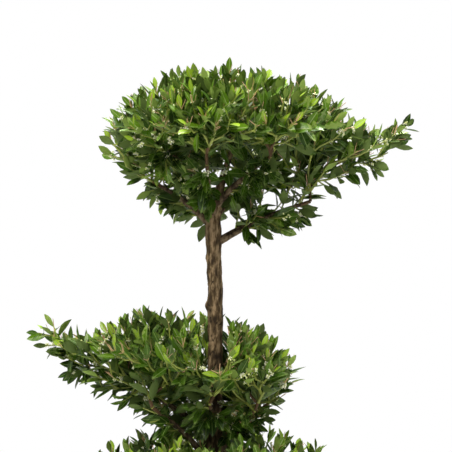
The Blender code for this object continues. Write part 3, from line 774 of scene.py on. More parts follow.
def grow_side_sprays(space, wood, line, dice, spacing=SPRAY_SPACING, turns=HANGING_TURNS, size=1.0):
    """Short leafy sprays along the outer part of a limb, turned about it by angles in a range."""
    line = np.array(line)
    path = path_lengths(line)
    count = round(path[-1] * (1 - SPRAY_START) / spacing)
    for number in range(count):
        share = (number + dice.uniform(*SPRAY_PLACES)) / count
        at = path[-1] * (SPRAY_START + (1 - SPRAY_START) * share)
        spot = along_line(line, path, at)
        part = min(int(np.searchsorted(path, at)), len(line) - 1)
        along = unit(line[part] - line[part - 1])
        level = unit(np.cross(along, UP))
        turn = dice.uniform(*turns) + (ODD_TURN if number % 2 else EVEN_TURN)
        aside = level * math.cos(turn) + np.cross(level, along) * math.sin(turn)
        out = unit(aside + SPRAY_FORWARD * along)
        reach = size * dice.uniform(*SPRAY_LENGTHS)
        points = [spot + reach * (out * t + UP * SPRAY_UPTURN * t**2) for t in SPRAY_JOINTS]
        if np.all(in_pad(space.tier, np.array(points), SPRAY_SLACK)):
            wood.add_spray(spot, points)


def chain_places(wood, chain, distances):
    """(points, ways) at distances back from a chain's tip, along the chain."""
    line = np.array([wood.points[joint] for joint in chain])
    path = path_lengths(line)
    at = path[-1] - distances
    keep = at > AXIL_BARE
    at = at[keep]
    part = np.clip(np.searchsorted(path, at) - 1, 0, len(line) - 2)
    return along_line(line, path, at), units(np.diff(line, axis=0)[part]), keep


def leaf_share(tier, points):
    """Share of the leaves that stay at each point: all in the dome, fewer towards the bowl."""
    low, high, _ = pad_span(tier, points[:, 0], points[:, 1])
    lift = (points[:, 2] - low) / (high - low)
    least = LOW_LEAF_SHARE + (FRONT_LEAF_SHARE - LOW_LEAF_SHARE) * front_share(points)
    return least + (1 - least) * np.clip(lift / FULL_LEAF_LIFT, 0, 1)


def long_shoot_line(space, wood):
    """The wood from the stem to the furthest tip, where that stands out of the tier's round rim."""
    ends = [chain[-1] for number, chain in enumerate(wood.chains) if number not in wood.side_chains]
    tips = np.array([wood.points[joint] for joint in ends])
    beyond = np.hypot(tips[:, 0], tips[:, 1])
    beyond = beyond - round_reach(space.tier, np.arctan2(tips[:, 1], tips[:, 0]))
    furthest = int(np.argmax(beyond))
    if beyond[furthest] < LONG_SHOOT_EXTRA:
        return None
    joint = ends[furthest]
    line = [wood.points[joint]]
    while joint:
        joint = wood.parents[joint]
        line.append(wood.points[joint])
    return line[::-1]


def shoot_leaves(wood, chain, hangs, dice):
    """Leaves in a spiral round one shoot: roots, ways, faces, sizes, ages, tones, whether they hang."""
    ranks = np.arange(LEAVES_PER_SHOOT)
    distances = LEAF_SPACING * ranks**SPACING_POWER
    distances = distances + dice.uniform(0, SPACING_JITTER, LEAVES_PER_SHOOT)
    points, along, keep = chain_places(wood, chain, distances)
    ranks = ranks[keep]
    count = len(ranks)
    if not count:
        return None
    across = units(np.cross(along, NEARLY_UP))
    other = np.cross(along, across)
    turn = dice.uniform(0, math.tau) + GOLDEN_TURN * ranks + dice.normal(0, TURN_JITTER, count)
    side = across * np.cos(turn)[:, None] + other * np.sin(turn)[:, None]
    age = ranks / (LEAVES_PER_SHOOT - 1)
    spread = np.radians(FOLDED_SPREAD + OPEN_SPREAD * age**SPREAD_POWER)
    spread = spread + dice.normal(0, SPREAD_JITTER, count)
    way = along * np.cos(spread)[:, None] + side * np.sin(spread)[:, None]
    way = units(way + LEAF_UPTURN * UP)
    face = along * np.sin(spread)[:, None] - side * np.cos(spread)[:, None]
    face = units(face + FACE_UPTURN * UP + dice.normal(0, FACE_JITTER, (count, 3)))
    size = YOUNGEST_SIZE + SIZE_GAIN * np.minimum(1, age * SIZE_RATE)
    size = size * dice.uniform(*LEAF_SIZES, count)
    if hangs:
        way = units(way - HANG * UP)
        face = units(face + HANG_FACE * UP)
        age = np.maximum(age, dice.uniform(*HANGING_AGES))
    spray = np.full(count, dice.uniform())
    return points, way, face, size, age, spray, np.full(count, hangs)


def leaves_with_room(space, leaves, dice):
    """Which leaves stay: in the mass's space, off the limbs, and fewer towards the open front."""
    points, way, _, size, _, _, hanging = leaves
    blades = way * (bpy.context.scene.holly.leaf_length * size)[:, None]
    tips = points + blades
    middles = points + 0.5 * blades
    keep = hanging & in_pad(space.tier, tips, SPRAY_SLACK)
    keep |= space.holds(tips, LEAF_SLACK, CELL_SLACK)
    keep &= space.off_limbs(tips, TIP_CLEARANCE) & space.off_limbs(middles, BLADE_CLEARANCE)
    keep &= ~space.in_notch(middles)
    return keep & (hanging | (dice.uniform(0, 1, len(keep)) < leaf_share(space.tier, points)))


def place_leaves(space, wood, dice):
    """The leaves of a mass: roots, ways, faces, sizes, ages and tones, one row for each leaf."""
    rows = []
    for number, chain in enumerate(wood.chains[1:], 1):
        leaves = shoot_leaves(wood, chain, number in wood.side_chains, dice)
        if leaves is not None:
            rows.append(leaves)
    leaves = [np.concatenate(column) for column in zip(*rows)]
    keep = leaves_with_room(space, leaves, dice)
    return [column[keep] for column in leaves[:-1]]


# The wood and leaves of the masses that have been grown, by name
GROWN = {}


def grown_masses():
    """The wood and leaves of every mass, grown once and kept for the pieces that share them."""
    if GROWN:
        return GROWN
    limbs = limb_runs()
    hearts = [
        place_in_pad(TIERS[bough.tier], bough.azimuth, bough.heart, bough.heart_lift) for bough in BOUGHS
    ]
    hearts.append(np.array(LEADER_HEART))
    top = trunk_centre(TRUNK_HEIGHT)
    rows = [(bough.name, bough.tier, *bough_line(bough), bough.shoots, bough.lift) for bough in BOUGHS]
    rows.append((LEADER, "top", [top - UP, top], [TRUNK_TIP_RADIUS], LEADER_SHOOTS, 1.0))
    for number, (name, tier, line, radii, shoots, lift) in enumerate(rows):
        others = hearts[:number] + hearts[number + 1 :]
        space = Space(TIERS[tier], hearts[number], others, limbs)
        dice = np.random.default_rng(WOOD_SEED + number)
        along = unit(line[-1] - line[-2])
        count = round(shoots * bpy.context.scene.holly.fullness)
        wood = grow_wood(space, line[-1] - along * STEM_SUNK, along, count, dice)
        if name != LEADER:
            if lift < CLAD_LIFT:
                grow_side_sprays(space, wood, line, dice, CLAD_SPACING, ALL_TURNS, CLAD_SIZE)
            else:
                grow_side_sprays(space, wood, line, dice)
            long_line = long_shoot_line(space, wood)
            if long_line is not None:
                grow_side_sprays(space, wood, long_line, dice, LONG_SPACING)
        GROWN[name] = (wood, radii[-1], place_leaves(space, wood, dice), dice)
    return GROWN


# Leaf blades

# Stations along a leaf: share of its length, half width as a share of the widest
STATIONS = ((0.09, 0.12), (0.27, 0.66), (0.52, 1.00), (0.74, 0.82), (0.90, 0.40))
BELLY_START = 0.05  # the underside is thinnest at the leaf's two ends
# The points of a station are a rim, the two edges of the midrib, the other rim, and the keel below
STATION_RIMS = (1.0, 0.0, 0.0, 1.0, 0.0)
STATION_KEEL = (0.0, 0.0, 0.0, 0.0, 1.0)
STATION_POINTS = len(STATION_RIMS)
# Strips along a leaf: the two points of a station that bound each, and its kind
TOP, RIB, BACK = range(3)
STRIPS = ((0, 1, TOP), (1, 2, RIB), (2, 3, TOP), (3, 4, BACK), (4, 0, BACK))


def leaf_template():
    """(across, along, rim mark, keel mark, faces, face kinds) of one blade, from foot to tip."""
    across = [0.0]
    along = [0.0]
    for share, width in STATIONS:
        rib = min(RIB_SHARE, width)
        across += [-width, -rib, rib, width, 0.0]
        along += [share] * STATION_POINTS
    across.append(0.0)
    along.append(1.0)
    rims = (0.0, *STATION_RIMS * len(STATIONS), 0.0)
    keel = (0.0, *STATION_KEEL * len(STATIONS), 0.0)
    faces = []
    kinds = []
    tip = len(across) - 1
    last = tip - STATION_POINTS
    for a, b, kind in STRIPS:
        strip = [(0, 1 + b, 1 + a)]
        for low in range(1, last, STATION_POINTS):
            high = low + STATION_POINTS
            strip.append((low + a, low + b, high + b, high + a))
        strip.append((last + a, last + b, tip))
        faces += strip
        kinds += [kind] * len(strip)
    arrays = [np.array(values) for values in (across, along, rims, keel)]
    return *arrays, faces, np.array(kinds)


def leaf_slots(age, spray, dice):
    """Material slots of the top, midrib and back of each leaf, by its age and its spray's tone."""
    youth = 1 - age + SPRAY_TONE * (spray - 0.5) + dice.normal(0, TONE_JITTER, len(age))
    tone = np.digitize(youth, TONE_STEPS)
    young = (tone >= FRESH_TONE).astype(int)
    return np.column_stack((tone, OLD_RIB_SLOT + young, OLD_BACK_SLOT + young))


def leaf_arrays(leaves, dice):
    """(points, faces, slots) of all the leaves of a mass."""
    settings = bpy.context.scene.holly
    roots, way, face, size, age, spray = leaves
    across, along, rims, keel, faces, kinds = leaf_template()
    count = len(roots)
    side = units(np.cross(way, face))
    over = np.cross(side, way)
    length = settings.leaf_length * size
    half = settings.leaf_width / 2 * size * dice.uniform(*LEAF_WIDTHS, count)
    fold = dice.uniform(*FOLDS, count) * half
    curl = dice.uniform(*CURLS, count) * length
    twist = dice.normal(0, TWIST, count)
    x = half[:, None] * across
    y = length[:, None] * along
    belly = LEAF_THICKNESS * keel * np.sin(np.pi * np.clip(along, BELLY_START, 1))
    z = fold[:, None] * rims * np.abs(across) - curl[:, None] * along**2 - belly
    turn = twist[:, None] * along
    x, z = x * np.cos(turn) - z * np.sin(turn), x * np.sin(turn) + z * np.cos(turn)
    points = roots[:, None, :]
    for reach, direction in ((x, side), (y, way), (z, over)):
        points = points + direction[:, None, :] * reach[..., None]
    starts = range(0, count * len(across), len(across))
    all_faces = [tuple(start + corner for corner in corners) for start in starts for corners in faces]
    slots = leaf_slots(age, spray, dice)[:, kinds]
    return points.reshape(-1, 3), all_faces, slots.reshape(-1)


# Materials

SHEEN_SCALE = 260.0
SHEEN_SPAN = (-0.10, 0.14)  # how far the roughness wanders below and above its mean
SURFACE_DEPTH = 0.0006
CRACK_SHADE_MARK = "crack_depth"  # the depth of the cracks, kept at the points of a limb for the painted shade that darkens them
BARK_ROUGHNESS = 0.85
BARK_GLOSS = 0.25
BARK_STRETCH = (1.0, 1.0, 0.32)  # the bark's mottling is drawn out lengthwise
MOTTLE_SCALE = 230.0
MOTTLE_STOPS = (0.34, 0.47, 0.60)
# painted shade in the cracks: they darken to this share of the dark bark colour
PAINTED_CRACK_SHADE = 0.45
GRAIN_SCALE = 900.0
GRAIN_BUMP = 0.45
GRAIN_DEPTH = 0.0005

# Finishes in the order of their slots: name, its setting, roughness, gloss, bump scale and strength
LEAF_FINISHES = (
    ("leaf_top_old", "old_leaf", 0.27, 0.26, 420.0, 0.35),
    ("leaf_top_mature", "mature_leaf", 0.27, 0.26, 420.0, 0.35),
    ("leaf_top_fresh", "fresh_leaf", 0.27, 0.26, 420.0, 0.35),
    ("leaf_top_young", "young_leaf", 0.27, 0.26, 420.0, 0.35),
    # the midrib's pale tint is partly its own colour and partly a painted sheen along the fold
    ("leaf_rib_old", "rib", 0.45, 0.30, 420.0, 0.35),
    ("leaf_rib_young", "young_rib", 0.45, 0.30, 420.0, 0.35),
    ("leaf_back_old", "leaf_back", 0.62, 0.20, 420.0, 0.35),
    ("leaf_back_young", "young_leaf_back", 0.62, 0.20, 420.0, 0.35),
)
FRESH_TONE = 2  # from this slot of the tops on, the leaf has a young midrib and back
OLD_RIB_SLOT = 4  # the young ones follow the old
OLD_BACK_SLOT = 6
TWIG_FINISHES = (
    ("twig_bark", "twig", 0.70, 0.30, 700.0, 0.6),
    ("green_shoot", "green_shoot", 0.50, 0.40, 500.0, 0.3),
    ("clipped_stub", "stub", 0.70, 0.25, 700.0, 0.5),
)
BROWN, GREEN, TAN = range(3)
BLOSSOM_FINISHES = (
    ("petal", "petal", 0.55, 0.30, 300.0, 0.2),
    ("flower_bud", "bud", 0.50, 0.35, 300.0, 0.2),
)
PETAL, BUD = range(2)
FLOOR_FINISHES = (("pale_floor", "floor", 0.75, 0.2, 30.0, 0.02),)


def new_material(name, roughness):
    """(material, its nodes, its links, its shader) for a node material."""
    material = bpy.data.materials.new(name)
    material.use_nodes = True
    nodes = material.node_tree.nodes
    shader = nodes["Principled BSDF"]
    shader.inputs["Roughness"].default_value = roughness
    return material, nodes, material.node_tree.links, shader


def noise_node(nodes, links, coordinates, scale, detail):
    """A cloudy pattern over the piece, finer with a larger scale."""
    noise = nodes.new("ShaderNodeTexNoise")
    noise.inputs["Scale"].default_value = scale
    noise.inputs["Detail"].default_value = detail
    links.new(coordinates, noise.inputs["Vector"])
    return noise


def add_bump(nodes, links, shader, height, strength, distance):
    """A fine relief that is only shaded, as deep as the distance in metres."""
    bump = nodes.new("ShaderNodeBump")
    bump.inputs["Strength"].default_value = strength
    bump.inputs["Distance"].default_value = distance
    links.new(height, bump.inputs["Height"])
    links.new(bump.outputs["Normal"], shader.inputs["Normal"])


def add_ramp(nodes, links, value, stops):
    """A colour ramp over a value, from (place, colour) stops."""
    ramp = nodes.new("ShaderNodeValToRGB")
    while len(ramp.color_ramp.elements) < len(stops):
        ramp.color_ramp.elements.new(0.5)
    for element, (place, colour) in zip(ramp.color_ramp.elements, stops):
        element.position = place
        element.color = (*colour, 1.0)
    links.new(value, ramp.inputs["Fac"])
    return ramp


def plant_material(name, colour, roughness, gloss, bump_scale, bump_strength):
    """A leaf, stem or petal: one plain colour, with an uneven sheen and a fine surface."""
    material, nodes, links, shader = new_material(name, roughness)
    shader.inputs["Base Color"].default_value = (*colour, 1.0)
    shader.inputs["Specular IOR Level"].default_value = gloss
    place = nodes.new("ShaderNodeTexCoord").outputs["Object"]
    uneven = noise_node(nodes, links, place, SHEEN_SCALE, 3.0)
    spread = nodes.new("ShaderNodeMapRange")
    spread.inputs["To Min"].default_value = roughness + SHEEN_SPAN[0]
    spread.inputs["To Max"].default_value = roughness + SHEEN_SPAN[1]
    links.new(uneven.outputs["Fac"], spread.inputs["Value"])
    links.new(spread.outputs["Result"], shader.inputs["Roughness"])
    surface = noise_node(nodes, links, place, bump_scale, 2.0)
    add_bump(nodes, links, shader, surface.outputs["Fac"], bump_strength, SURFACE_DEPTH)
    return material


def bark_material(name, light, middle, dark):
    """Bark whose colour follows its relief: painted shade darkens the cracks, and the plates are mottled.
    """
    material, nodes, links, shader = new_material(name, BARK_ROUGHNESS)
    shader.inputs["Specular IOR Level"].default_value = BARK_GLOSS
    place = nodes.new("ShaderNodeTexCoord").outputs["Object"]
    stretch = nodes.new("ShaderNodeMapping")
    stretch.inputs["Scale"].default_value = BARK_STRETCH
    links.new(place, stretch.inputs["Vector"])
    mottle = noise_node(nodes, links, stretch.outputs["Vector"], MOTTLE_SCALE, 5.0)
    stops = list(zip(MOTTLE_STOPS, (dark, middle, light)))
    tones = add_ramp(nodes, links, mottle.outputs["Fac"], stops)
    # painted shade: the depth of the cracks darkens the bark's colour there
    depth = nodes.new("ShaderNodeAttribute")
    depth.attribute_name = CRACK_SHADE_MARK
    crack = nodes.new("ShaderNodeMix")
    crack.data_type = "RGBA"
    links.new(depth.outputs["Fac"], crack.inputs["Factor"])
    links.new(tones.outputs["Color"], crack.inputs["A"])
    crack.inputs["B"].default_value = (*[PAINTED_CRACK_SHADE * channel for channel in dark], 1.0)
    links.new(crack.outputs["Result"], shader.inputs["Base Color"])
    fine = noise_node(nodes, links, stretch.outputs["Vector"], GRAIN_SCALE, 4.0)
    add_bump(nodes, links, shader, fine.outputs["Fac"], GRAIN_BUMP, GRAIN_DEPTH)
    return material


def plant_materials(finishes):
    """A material for each row of a table of finishes, in the colours of the settings."""
    materials = []
    for name, setting, *surface in finishes:
        colour = getattr(bpy.context.scene.holly, setting)
        materials.append(plant_material(name, colour, *surface))
    return materials


# Pieces


def settle(piece, node):
    """Hands a finished piece over to the frame: it rides on the root and stands for its node."""
    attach(piece, "root")
    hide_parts(node)


def limb_piece(name, line, radii, sides, seed, cells, depth, material, shape_extra=None):
    """A limb with the relief of its bark, and the depth of its cracks kept for the painted shade in them.
    """
    rings = tube_rings(line, radii, sides)
    centres = np.asarray(line)[:, None, :]
    around, height = np.meshgrid(np.arange(sides) / sides, path_lengths(line))
    relief, fissure = bark_relief(around, height, seed, cells)
    outward = units(rings - centres)
    lift = depth * relief
    if shape_extra is not None:
        lift = lift + shape_extra(outward, height)
    rings = rings + outward * lift[..., None]
    faces = ring_faces(len(line), sides)
    piece = mesh_piece(name, rings.reshape(-1, 3), faces, np.zeros(len(faces)), [material])
    # the depth of the cracks at each point, which drives the painted shade in them
    crack_shade_marks = piece.data.attributes.new(CRACK_SHADE_MARK, "FLOAT", "POINT")
    crack_shade_marks.data.foreach_set("value", fissure.reshape(-1).astype(np.float32))
    return piece


def trunk_swell(outward, height):
    """How far the trunk stands out of its taper: roots, forks, ribs and burrs."""
    angle = np.arctan2(outward[..., 1], outward[..., 0])
    lobes = ROOT_SWELL
    for count, share, turn in ROOT_LOBES:
        lobes = lobes + share * np.cos(count * angle + turn)
    swell = FLARE * np.exp(-height / FLARE_HEIGHT) * lobes
    lifts = [(height - bough.fork - FORK_SWELL_LIFT) / FORK_SWELL_HEIGHT for bough in BOUGHS]
    forks = sum(np.exp(-(lift**2)) for lift in lifts)
    swell = swell + FORK_SWELL * np.minimum(forks, MOST_FORKS)
    swell = swell + RIB_DEPTH * taper(height) * np.cos(RIBS * angle + RIB_TWIST * height)
    for burr_height, azimuth, stand, width in BURRS:
        across = turn_between(angle, azimuth) * TRUNK_FORK_RADIUS / width
        span = across**2 + ((height - burr_height) / width) ** 2
        swell = swell + stand * np.exp(-span)
    return swell + LUMP_DEPTH * grid_noise(angle / math.tau, height, 4, LUMP_HEIGHT, 71)


def make_trunk_piece():
    """The trunk from the ground to the tip of its leader."""
    settings = bpy.context.scene.holly
    bark = bark_material("trunk_bark", settings.bark_light, settings.bark_middle, settings.bark_dark)
    heights = np.linspace(0, TRUNK_HEIGHT, TRUNK_RINGS)
    line = [trunk_centre(height) for height in heights]
    radii = [trunk_radius(height) for height in heights]
    shape = (TRUNK_SIDES, TRUNK_SEED, TRUNK_CRACKS, settings.bark_relief)
    piece = limb_piece("bark_trunk", line, radii, *shape, bark, trunk_swell)
    flatten_foot(piece)
    settle(piece, "trunk")


def flatten_foot(piece):
    """Sets the lowest ring of the trunk level on the ground."""
    points = np.empty(len(piece.data.vertices) * 3)
    piece.data.vertices.foreach_get("co", points)
    points = points.reshape(-1, 3)
    points[:TRUNK_SIDES, 2] = 0.0
    points[:, 2] = np.maximum(points[:, 2], 0.0)
    piece.data.vertices.foreach_set("co", points.reshape(-1))
    piece.data.update()


def make_bough_pieces():
    """The boughs of all tiers, each a piece of its own."""
    settings = bpy.context.scene.holly
    bark = bark_material("bough_bark", settings.bough_light, settings.bough_middle, settings.bark_dark)
    for number, bough in enumerate(BOUGHS):
        points, radii = bough_line(bough, BOUGH_RINGS)
        depth = settings.bark_relief * BOUGH_RELIEF
        shape = (BOUGH_SIDES, BOUGH_SEED + BOUGH_SEED_STEP * number, BOUGH_CRACKS, depth)
        piece = limb_piece("bark_bough_" + bough.name, points, radii, *shape, bark)
        settle(piece, "bough_" + bough.name)


def add_twig(parts, line, widths):
    """A tube along a twig: brown where it is thick, green where it is thin and at its tip."""
    slots = []
    for width in widths[1:]:
        slots += [GREEN if width < GREEN_WOOD_RADIUS else BROWN] * TWIG_SIDES
    slots += [BROWN, GREEN]
    parts.add(tube_rings(line, widths, TWIG_SIDES), ring_faces(len(line), TWIG_SIDES), slots)


def add_stubs(parts, tip, way, dice):
    """A few bare clipped stubs near the tip of a shoot."""
    faces = ring_faces(2, STUB_SIDES)
    for _ in range(dice.integers(*STUB_COUNTS)):
        foot = tip - way * dice.uniform(0, STUB_SPAN)
        out = unit(way + dice.normal(0, STUB_LEAN, 3) + STUB_UPTURN * UP)
        end = foot + out * dice.uniform(*STUB_LENGTHS)
        parts.add(tube_rings([foot, end], STUB_RADII, STUB_SIDES), faces, [TAN] * len(faces))


def make_twig_pieces():
    """The wood of every mass in three finishes: brown twigs, green shoots and tan stubs."""
    materials = plant_materials(TWIG_FINISHES)
    for name, (wood, stem_radius, _, dice) in grown_masses().items():
        radii = wood.radii(stem_radius)
        parts = Parts()
        for number, chain in enumerate(wood.chains):
            line = [wood.points[joint] for joint in chain]
            widths = [radii[joint] for joint in chain]
            if number:
                widths[0] = min(widths[1], TWIG_FOOT_SHARE * widths[0])
                widths[-1] = TWIG_TIP_RADIUS * TWIG_TIP_SHARE
            add_twig(parts, line, widths)
            way = unit(line[-1] - line[-2])
            if number and way[2] > STUB_RISE and dice.uniform() < STUB_SHARE:
                add_stubs(parts, line[-1], way, dice)
        piece = parts.piece("twigs_" + name, materials, TWIG_EDGE)
        settle(piece, "leaves_" + name)


def make_leaf_pieces():
    """The leaves of every mass, in tones by their age."""
    materials = plant_materials(LEAF_FINISHES)
    for number, (name, (_, _, leaves, _)) in enumerate(grown_masses().items()):
        points, faces, slots = leaf_arrays(leaves, np.random.default_rng(LEAF_SEED + number))
        piece = mesh_piece("foliage_" + name, points, faces, slots, materials, LEAF_EDGE)
        settle(piece, "leaves_" + name)


def add_flower(parts, spot, along, dice):
    """A small flower, or a bud where the dice say so, standing out from a spot on a shoot."""
    way = unit(dice.normal(0, 1, 3) + FLOWER_FORWARD * along + FLOWER_UPTURN * UP)
    size = bpy.context.scene.holly.flower_size / 2 * dice.uniform(*FLOWER_SIZES)
    centre = spot + way * dice.uniform(*CLUSTER_SPREAD)
    across = unit(np.cross(way, UP + 0.1 * heading(dice.uniform(0, 360))))
    other = np.cross(way, across)
    heart = (across * HEART_WIDTH, other * HEART_WIDTH, way * HEART_HEIGHT)
    lobes = [(centre + way * HEART_RISE, *heart, BUD)]
    if dice.uniform() < OPEN_SHARE:
        for petal in range(PETALS):
            turn = math.tau * petal / PETALS + PETAL_TURN
            out = math.cos(turn) * across + math.sin(turn) * other
            flat = math.cos(turn) * other - math.sin(turn) * across
            thick = way * PETAL_HEIGHT + out * PETAL_TILT
            arms = (out * PETAL_LENGTH, flat * PETAL_WIDTH, thick)
            lobes.append((centre + out * size * PETAL_REACH, *arms, PETAL))
    for middle, a, b, c, slot in lobes:
        points = [middle + arm * size for arm in (a, b, -a, -b, c, -c)]
        parts.add(points, LOBE_FACES, [slot] * len(LOBE_FACES))


def make_blossom_pieces():
    """Small clusters of pale flowers and buds in the axils behind the shoots' tips."""
    materials = plant_materials(BLOSSOM_FINISHES)
    for number, (name, (wood, _, _, _)) in enumerate(grown_masses().items()):
        dice = np.random.default_rng(BLOSSOM_SEED + number)
        parts = Parts()
        for chain in wood.chains[1:]:
            if dice.uniform() > bpy.context.scene.holly.blossom_share:
                continue
            distances = dice.uniform(0.0, CLUSTER_SPAN, CLUSTERS_PER_SHOOT)
            spots, ways, _ = chain_places(wood, chain, distances)
            for spot, along in zip(spots, ways):
                for _ in range(FLOWERS_PER_CLUSTER):
                    add_flower(parts, spot, along, dice)
        settle(parts.piece("blossom_" + name, materials), "leaves_" + name)


# Stage


def make_floor():
    """A round pale floor that the plant stands on."""
    turns = [math.tau * side / FLOOR_SIDES for side in range(FLOOR_SIDES)]
    rim = [(FLOOR_RADIUS * math.cos(turn), FLOOR_RADIUS * math.sin(turn)) for turn in turns]
    points = [(x, y, z) for z in (FLOOR_TOP, FLOOR_TOP - FLOOR_THICKNESS) for x, y in rim]
    faces = [tuple(reversed(corners)) for corners in ring_faces(2, FLOOR_SIDES)]
    materials = plant_materials(FLOOR_FINISHES)
    floor = mesh_piece("floor", points, faces, np.zeros(len(faces)), materials, FLOOR_EDGE)


def make_world():
    """White surroundings that are brighter overhead and dimmer below."""
    world = bpy.data.worlds.new("studio")
    bpy.context.scene.world = world
    world.use_nodes = True
    nodes = world.node_tree.nodes
    links = world.node_tree.links
    background = nodes["Background"]
    place = nodes.new("ShaderNodeTexCoord")
    split = nodes.new("ShaderNodeSeparateXYZ")
    links.new(place.outputs["Generated"], split.inputs["Vector"])
    span = nodes.new("ShaderNodeMapRange")
    span.inputs["From Min"].default_value = -1.0
    span.inputs["From Max"].default_value = 1.0
    links.new(split.outputs["Z"], span.inputs["Value"])
    stops = [(share, (grey,) * 3) for share, grey in SURROUNDINGS]
    ramp = add_ramp(nodes, links, span.outputs["Result"], stops)
    seen = nodes.new("ShaderNodeLightPath")
    backdrop = nodes.new("ShaderNodeMix")
    backdrop.data_type = "RGBA"
    links.new(seen.outputs["Is Camera Ray"], backdrop.inputs["Factor"])
    links.new(ramp.outputs["Color"], backdrop.inputs["A"])
    backdrop.inputs["B"].default_value = (1.0, 1.0, 1.0, 1.0)
    links.new(backdrop.outputs["Result"], background.inputs["Color"])
    background.inputs["Strength"].default_value = 1.0


def add_area_light(name, place, size, power, colour):
    """A round lamp that points at the upper tiers."""
    light = bpy.data.lights.new(name, "AREA")
    light.shape = "DISK"
    light.size = size
    light.energy = power
    light.color = colour
    lamp = bpy.data.objects.new(name, light)
    bpy.context.scene.collection.objects.link(lamp)
    from_to = np.array(LIGHT_TARGET) - np.array(place)
    flat = math.hypot(from_to[0], from_to[1])
    lamp.location = place
    lamp.rotation_euler = (math.atan2(flat, -from_to[2]), 0.0, math.atan2(-from_to[0], from_to[1]))


def add_camera():
    """A level camera in front of the plant, at the height of its upper tiers."""
    settings = bpy.context.scene.holly
    lens = bpy.data.cameras.new("camera")
    lens.lens = settings.lens
    lens.sensor_width = SENSOR_WIDTH
    lens.clip_end = VIEW_END
    camera = bpy.data.objects.new("camera", lens)
    camera.location = (settings.camera_side, -settings.camera_distance, settings.camera_height)
    camera.rotation_euler = (math.radians(90), 0.0, 0.0)
    bpy.context.scene.collection.objects.link(camera)
    bpy.context.scene.camera = camera


# Settings, operators and panel


def size_setting(name, description, default):
    return bpy.props.FloatProperty(
        name=name, description=description, default=default, unit="LENGTH", precision=5
    )


def share_setting(name, description, default, least, most):
    return bpy.props.FloatProperty(
        name=name, description=description, default=default, min=least, max=most, subtype="FACTOR"
    )


def colour_setting(name, description, default):
    return bpy.props.FloatVectorProperty(
        name=name, description=description, default=default, subtype="COLOR", size=3, min=0.0, max=1.0
    )


class HollySettings(bpy.types.PropertyGroup):
    """Sizes and colours of the holly."""

    leaf_length: size_setting("Leaf length", "Length of a full-grown leaf", 0.0265)
    leaf_width: size_setting("Leaf width", "Width of a full-grown leaf", 0.0104)
    flower_size: size_setting("Flower size", "Width of one small flower", 0.0054)
    bark_relief: size_setting("Bark relief", "Depth of the cracks in the trunk's bark", 0.0010)
    fullness: share_setting("Fullness", "Shoots against the usual number", 1.0, 0.2, 2.0)
    blossom_share: share_setting("Blossom", "Share of the shoots that flower", 0.50, 0.1, 1.0)
    old_leaf: colour_setting("Old leaf", "Upper side of an old leaf", (0.021, 0.052, 0.0035))
    mature_leaf: colour_setting("Mature leaf", "Upper side of a mature leaf", (0.042, 0.096, 0.0050))
    fresh_leaf: colour_setting("Fresh leaf", "Upper side of a fresh leaf", (0.086, 0.175, 0.008))
    young_leaf: colour_setting("Young leaf", "Upper side of a young leaf", (0.240, 0.370, 0.020))
    # paler than the blade: partly the midrib's own colour, partly a painted sheen along it
    rib: colour_setting("Midrib", "Midrib of a leaf", (0.150, 0.230, 0.050))
    young_rib: colour_setting("Young midrib", "Midrib of a young leaf", (0.260, 0.340, 0.110))
    leaf_back: colour_setting("Leaf back", "Underside of a leaf", (0.100, 0.150, 0.035))
    young_leaf_back: colour_setting("Young leaf back", "Underside of a young leaf", (0.200, 0.290, 0.055))
    twig: colour_setting("Twig", "Bark of the twigs", (0.100, 0.056, 0.024))
    green_shoot: colour_setting("Green shoot", "Skin of the youngest wood", (0.260, 0.300, 0.055))
    stub: colour_setting("Clipped stub", "Dry clipped tips", (0.520, 0.330, 0.180))
    petal: colour_setting("Petal", "Small flowers", (0.860, 0.870, 0.640))
    bud: colour_setting("Bud", "Flower buds and hearts", (0.640, 0.680, 0.270))
    bark_light: colour_setting("Bark light", "Plates of the trunk's bark", (0.290, 0.200, 0.108))
    bark_middle: colour_setting("Bark middle", "The bark's common tone", (0.088, 0.056, 0.025))
    # a share of this colour also gives the painted shade in the cracks of trunk and boughs
    bark_dark: colour_setting("Bark dark", "Mottling of the bark", (0.028, 0.017, 0.008))
    bough_light: colour_setting("Bough light", "Plates of the boughs' bark", (0.200, 0.145, 0.085))
    bough_middle: colour_setting("Bough middle", "The boughs' common tone", (0.100, 0.066, 0.034))
    floor: colour_setting("Floor", "Pale floor", (0.82, 0.82, 0.82))
    lens: bpy.props.FloatProperty(
        name="Lens", description="Focal length of the camera", default=123.0, min=20.0, unit="CAMERA"
    )
    camera_distance: size_setting("Camera distance", "From the trunk to the camera", 1.7)
    camera_height: size_setting("Camera height", "Height of the camera over the floor", 0.4994)
    camera_side: size_setting("Camera side", "How far to the right the camera stands", 0.0132)


class HOLLY_OT_trunk(bpy.types.Operator):
    """Make the bark of the trunk"""

    bl_idname = "holly.trunk"
    bl_label = "Trunk"

    def execute(self, context):
        make_trunk_piece()
        return {"FINISHED"}


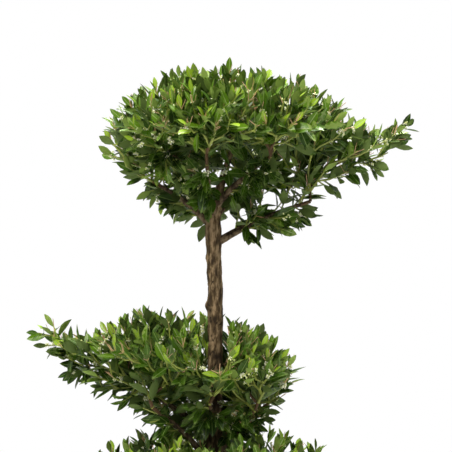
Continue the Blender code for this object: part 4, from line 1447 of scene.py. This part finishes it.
class HOLLY_OT_boughs(bpy.types.Operator):
    """Make the bark of the boughs"""

    bl_idname = "holly.boughs"
    bl_label = "Boughs"

    def execute(self, context):
        make_bough_pieces()
        return {"FINISHED"}


class HOLLY_OT_twigs(bpy.types.Operator):
    """Make the twigs of every mass of foliage"""

    bl_idname = "holly.twigs"
    bl_label = "Twigs"

    def execute(self, context):
        make_twig_pieces()
        return {"FINISHED"}


class HOLLY_OT_leaves(bpy.types.Operator):
    """Make the leaves of every mass of foliage"""

    bl_idname = "holly.leaves"
    bl_label = "Leaves"

    def execute(self, context):
        make_leaf_pieces()
        return {"FINISHED"}


class HOLLY_OT_blossom(bpy.types.Operator):
    """Make the small flowers and buds"""

    bl_idname = "holly.blossom"
    bl_label = "Blossom"

    def execute(self, context):
        make_blossom_pieces()
        return {"FINISHED"}


class HOLLY_OT_stage(bpy.types.Operator):
    """Set the floor, the light and the camera"""

    bl_idname = "holly.stage"
    bl_label = "Stage"

    def execute(self, context):
        make_floor()
        make_world()
        for light in LIGHTS:
            add_area_light(*light)
        context.scene.view_settings.view_transform = "Standard"
        add_camera()
        return {"FINISHED"}


STEPS = ("trunk", "boughs", "twigs", "leaves", "blossom", "stage")


class HOLLY_PT_panel(bpy.types.Panel):
    bl_idname = "HOLLY_PT_panel"
    bl_label = "Tiered Holly"
    bl_space_type = "VIEW_3D"
    bl_region_type = "UI"
    bl_category = "Holly"

    def draw(self, context):
        for step in STEPS:
            self.layout.operator("holly." + step)
        for name in HollySettings.__annotations__:
            self.layout.prop(context.scene.holly, name)


CLASSES = (
    HollySettings,
    HOLLY_OT_trunk,
    HOLLY_OT_boughs,
    HOLLY_OT_twigs,
    HOLLY_OT_leaves,
    HOLLY_OT_blossom,
    HOLLY_OT_stage,
    HOLLY_PT_panel,
)


def register():
    for thing in CLASSES:
        bpy.utils.register_class(thing)
    bpy.types.Scene.holly = bpy.props.PointerProperty(type=HollySettings)


def unregister():
    del bpy.types.Scene.holly
    for thing in reversed(CLASSES):
        bpy.utils.unregister_class(thing)


def main():
    register()
    for step in STEPS:
        getattr(bpy.ops.holly, step)()


if __name__ == "__main__":
    main()
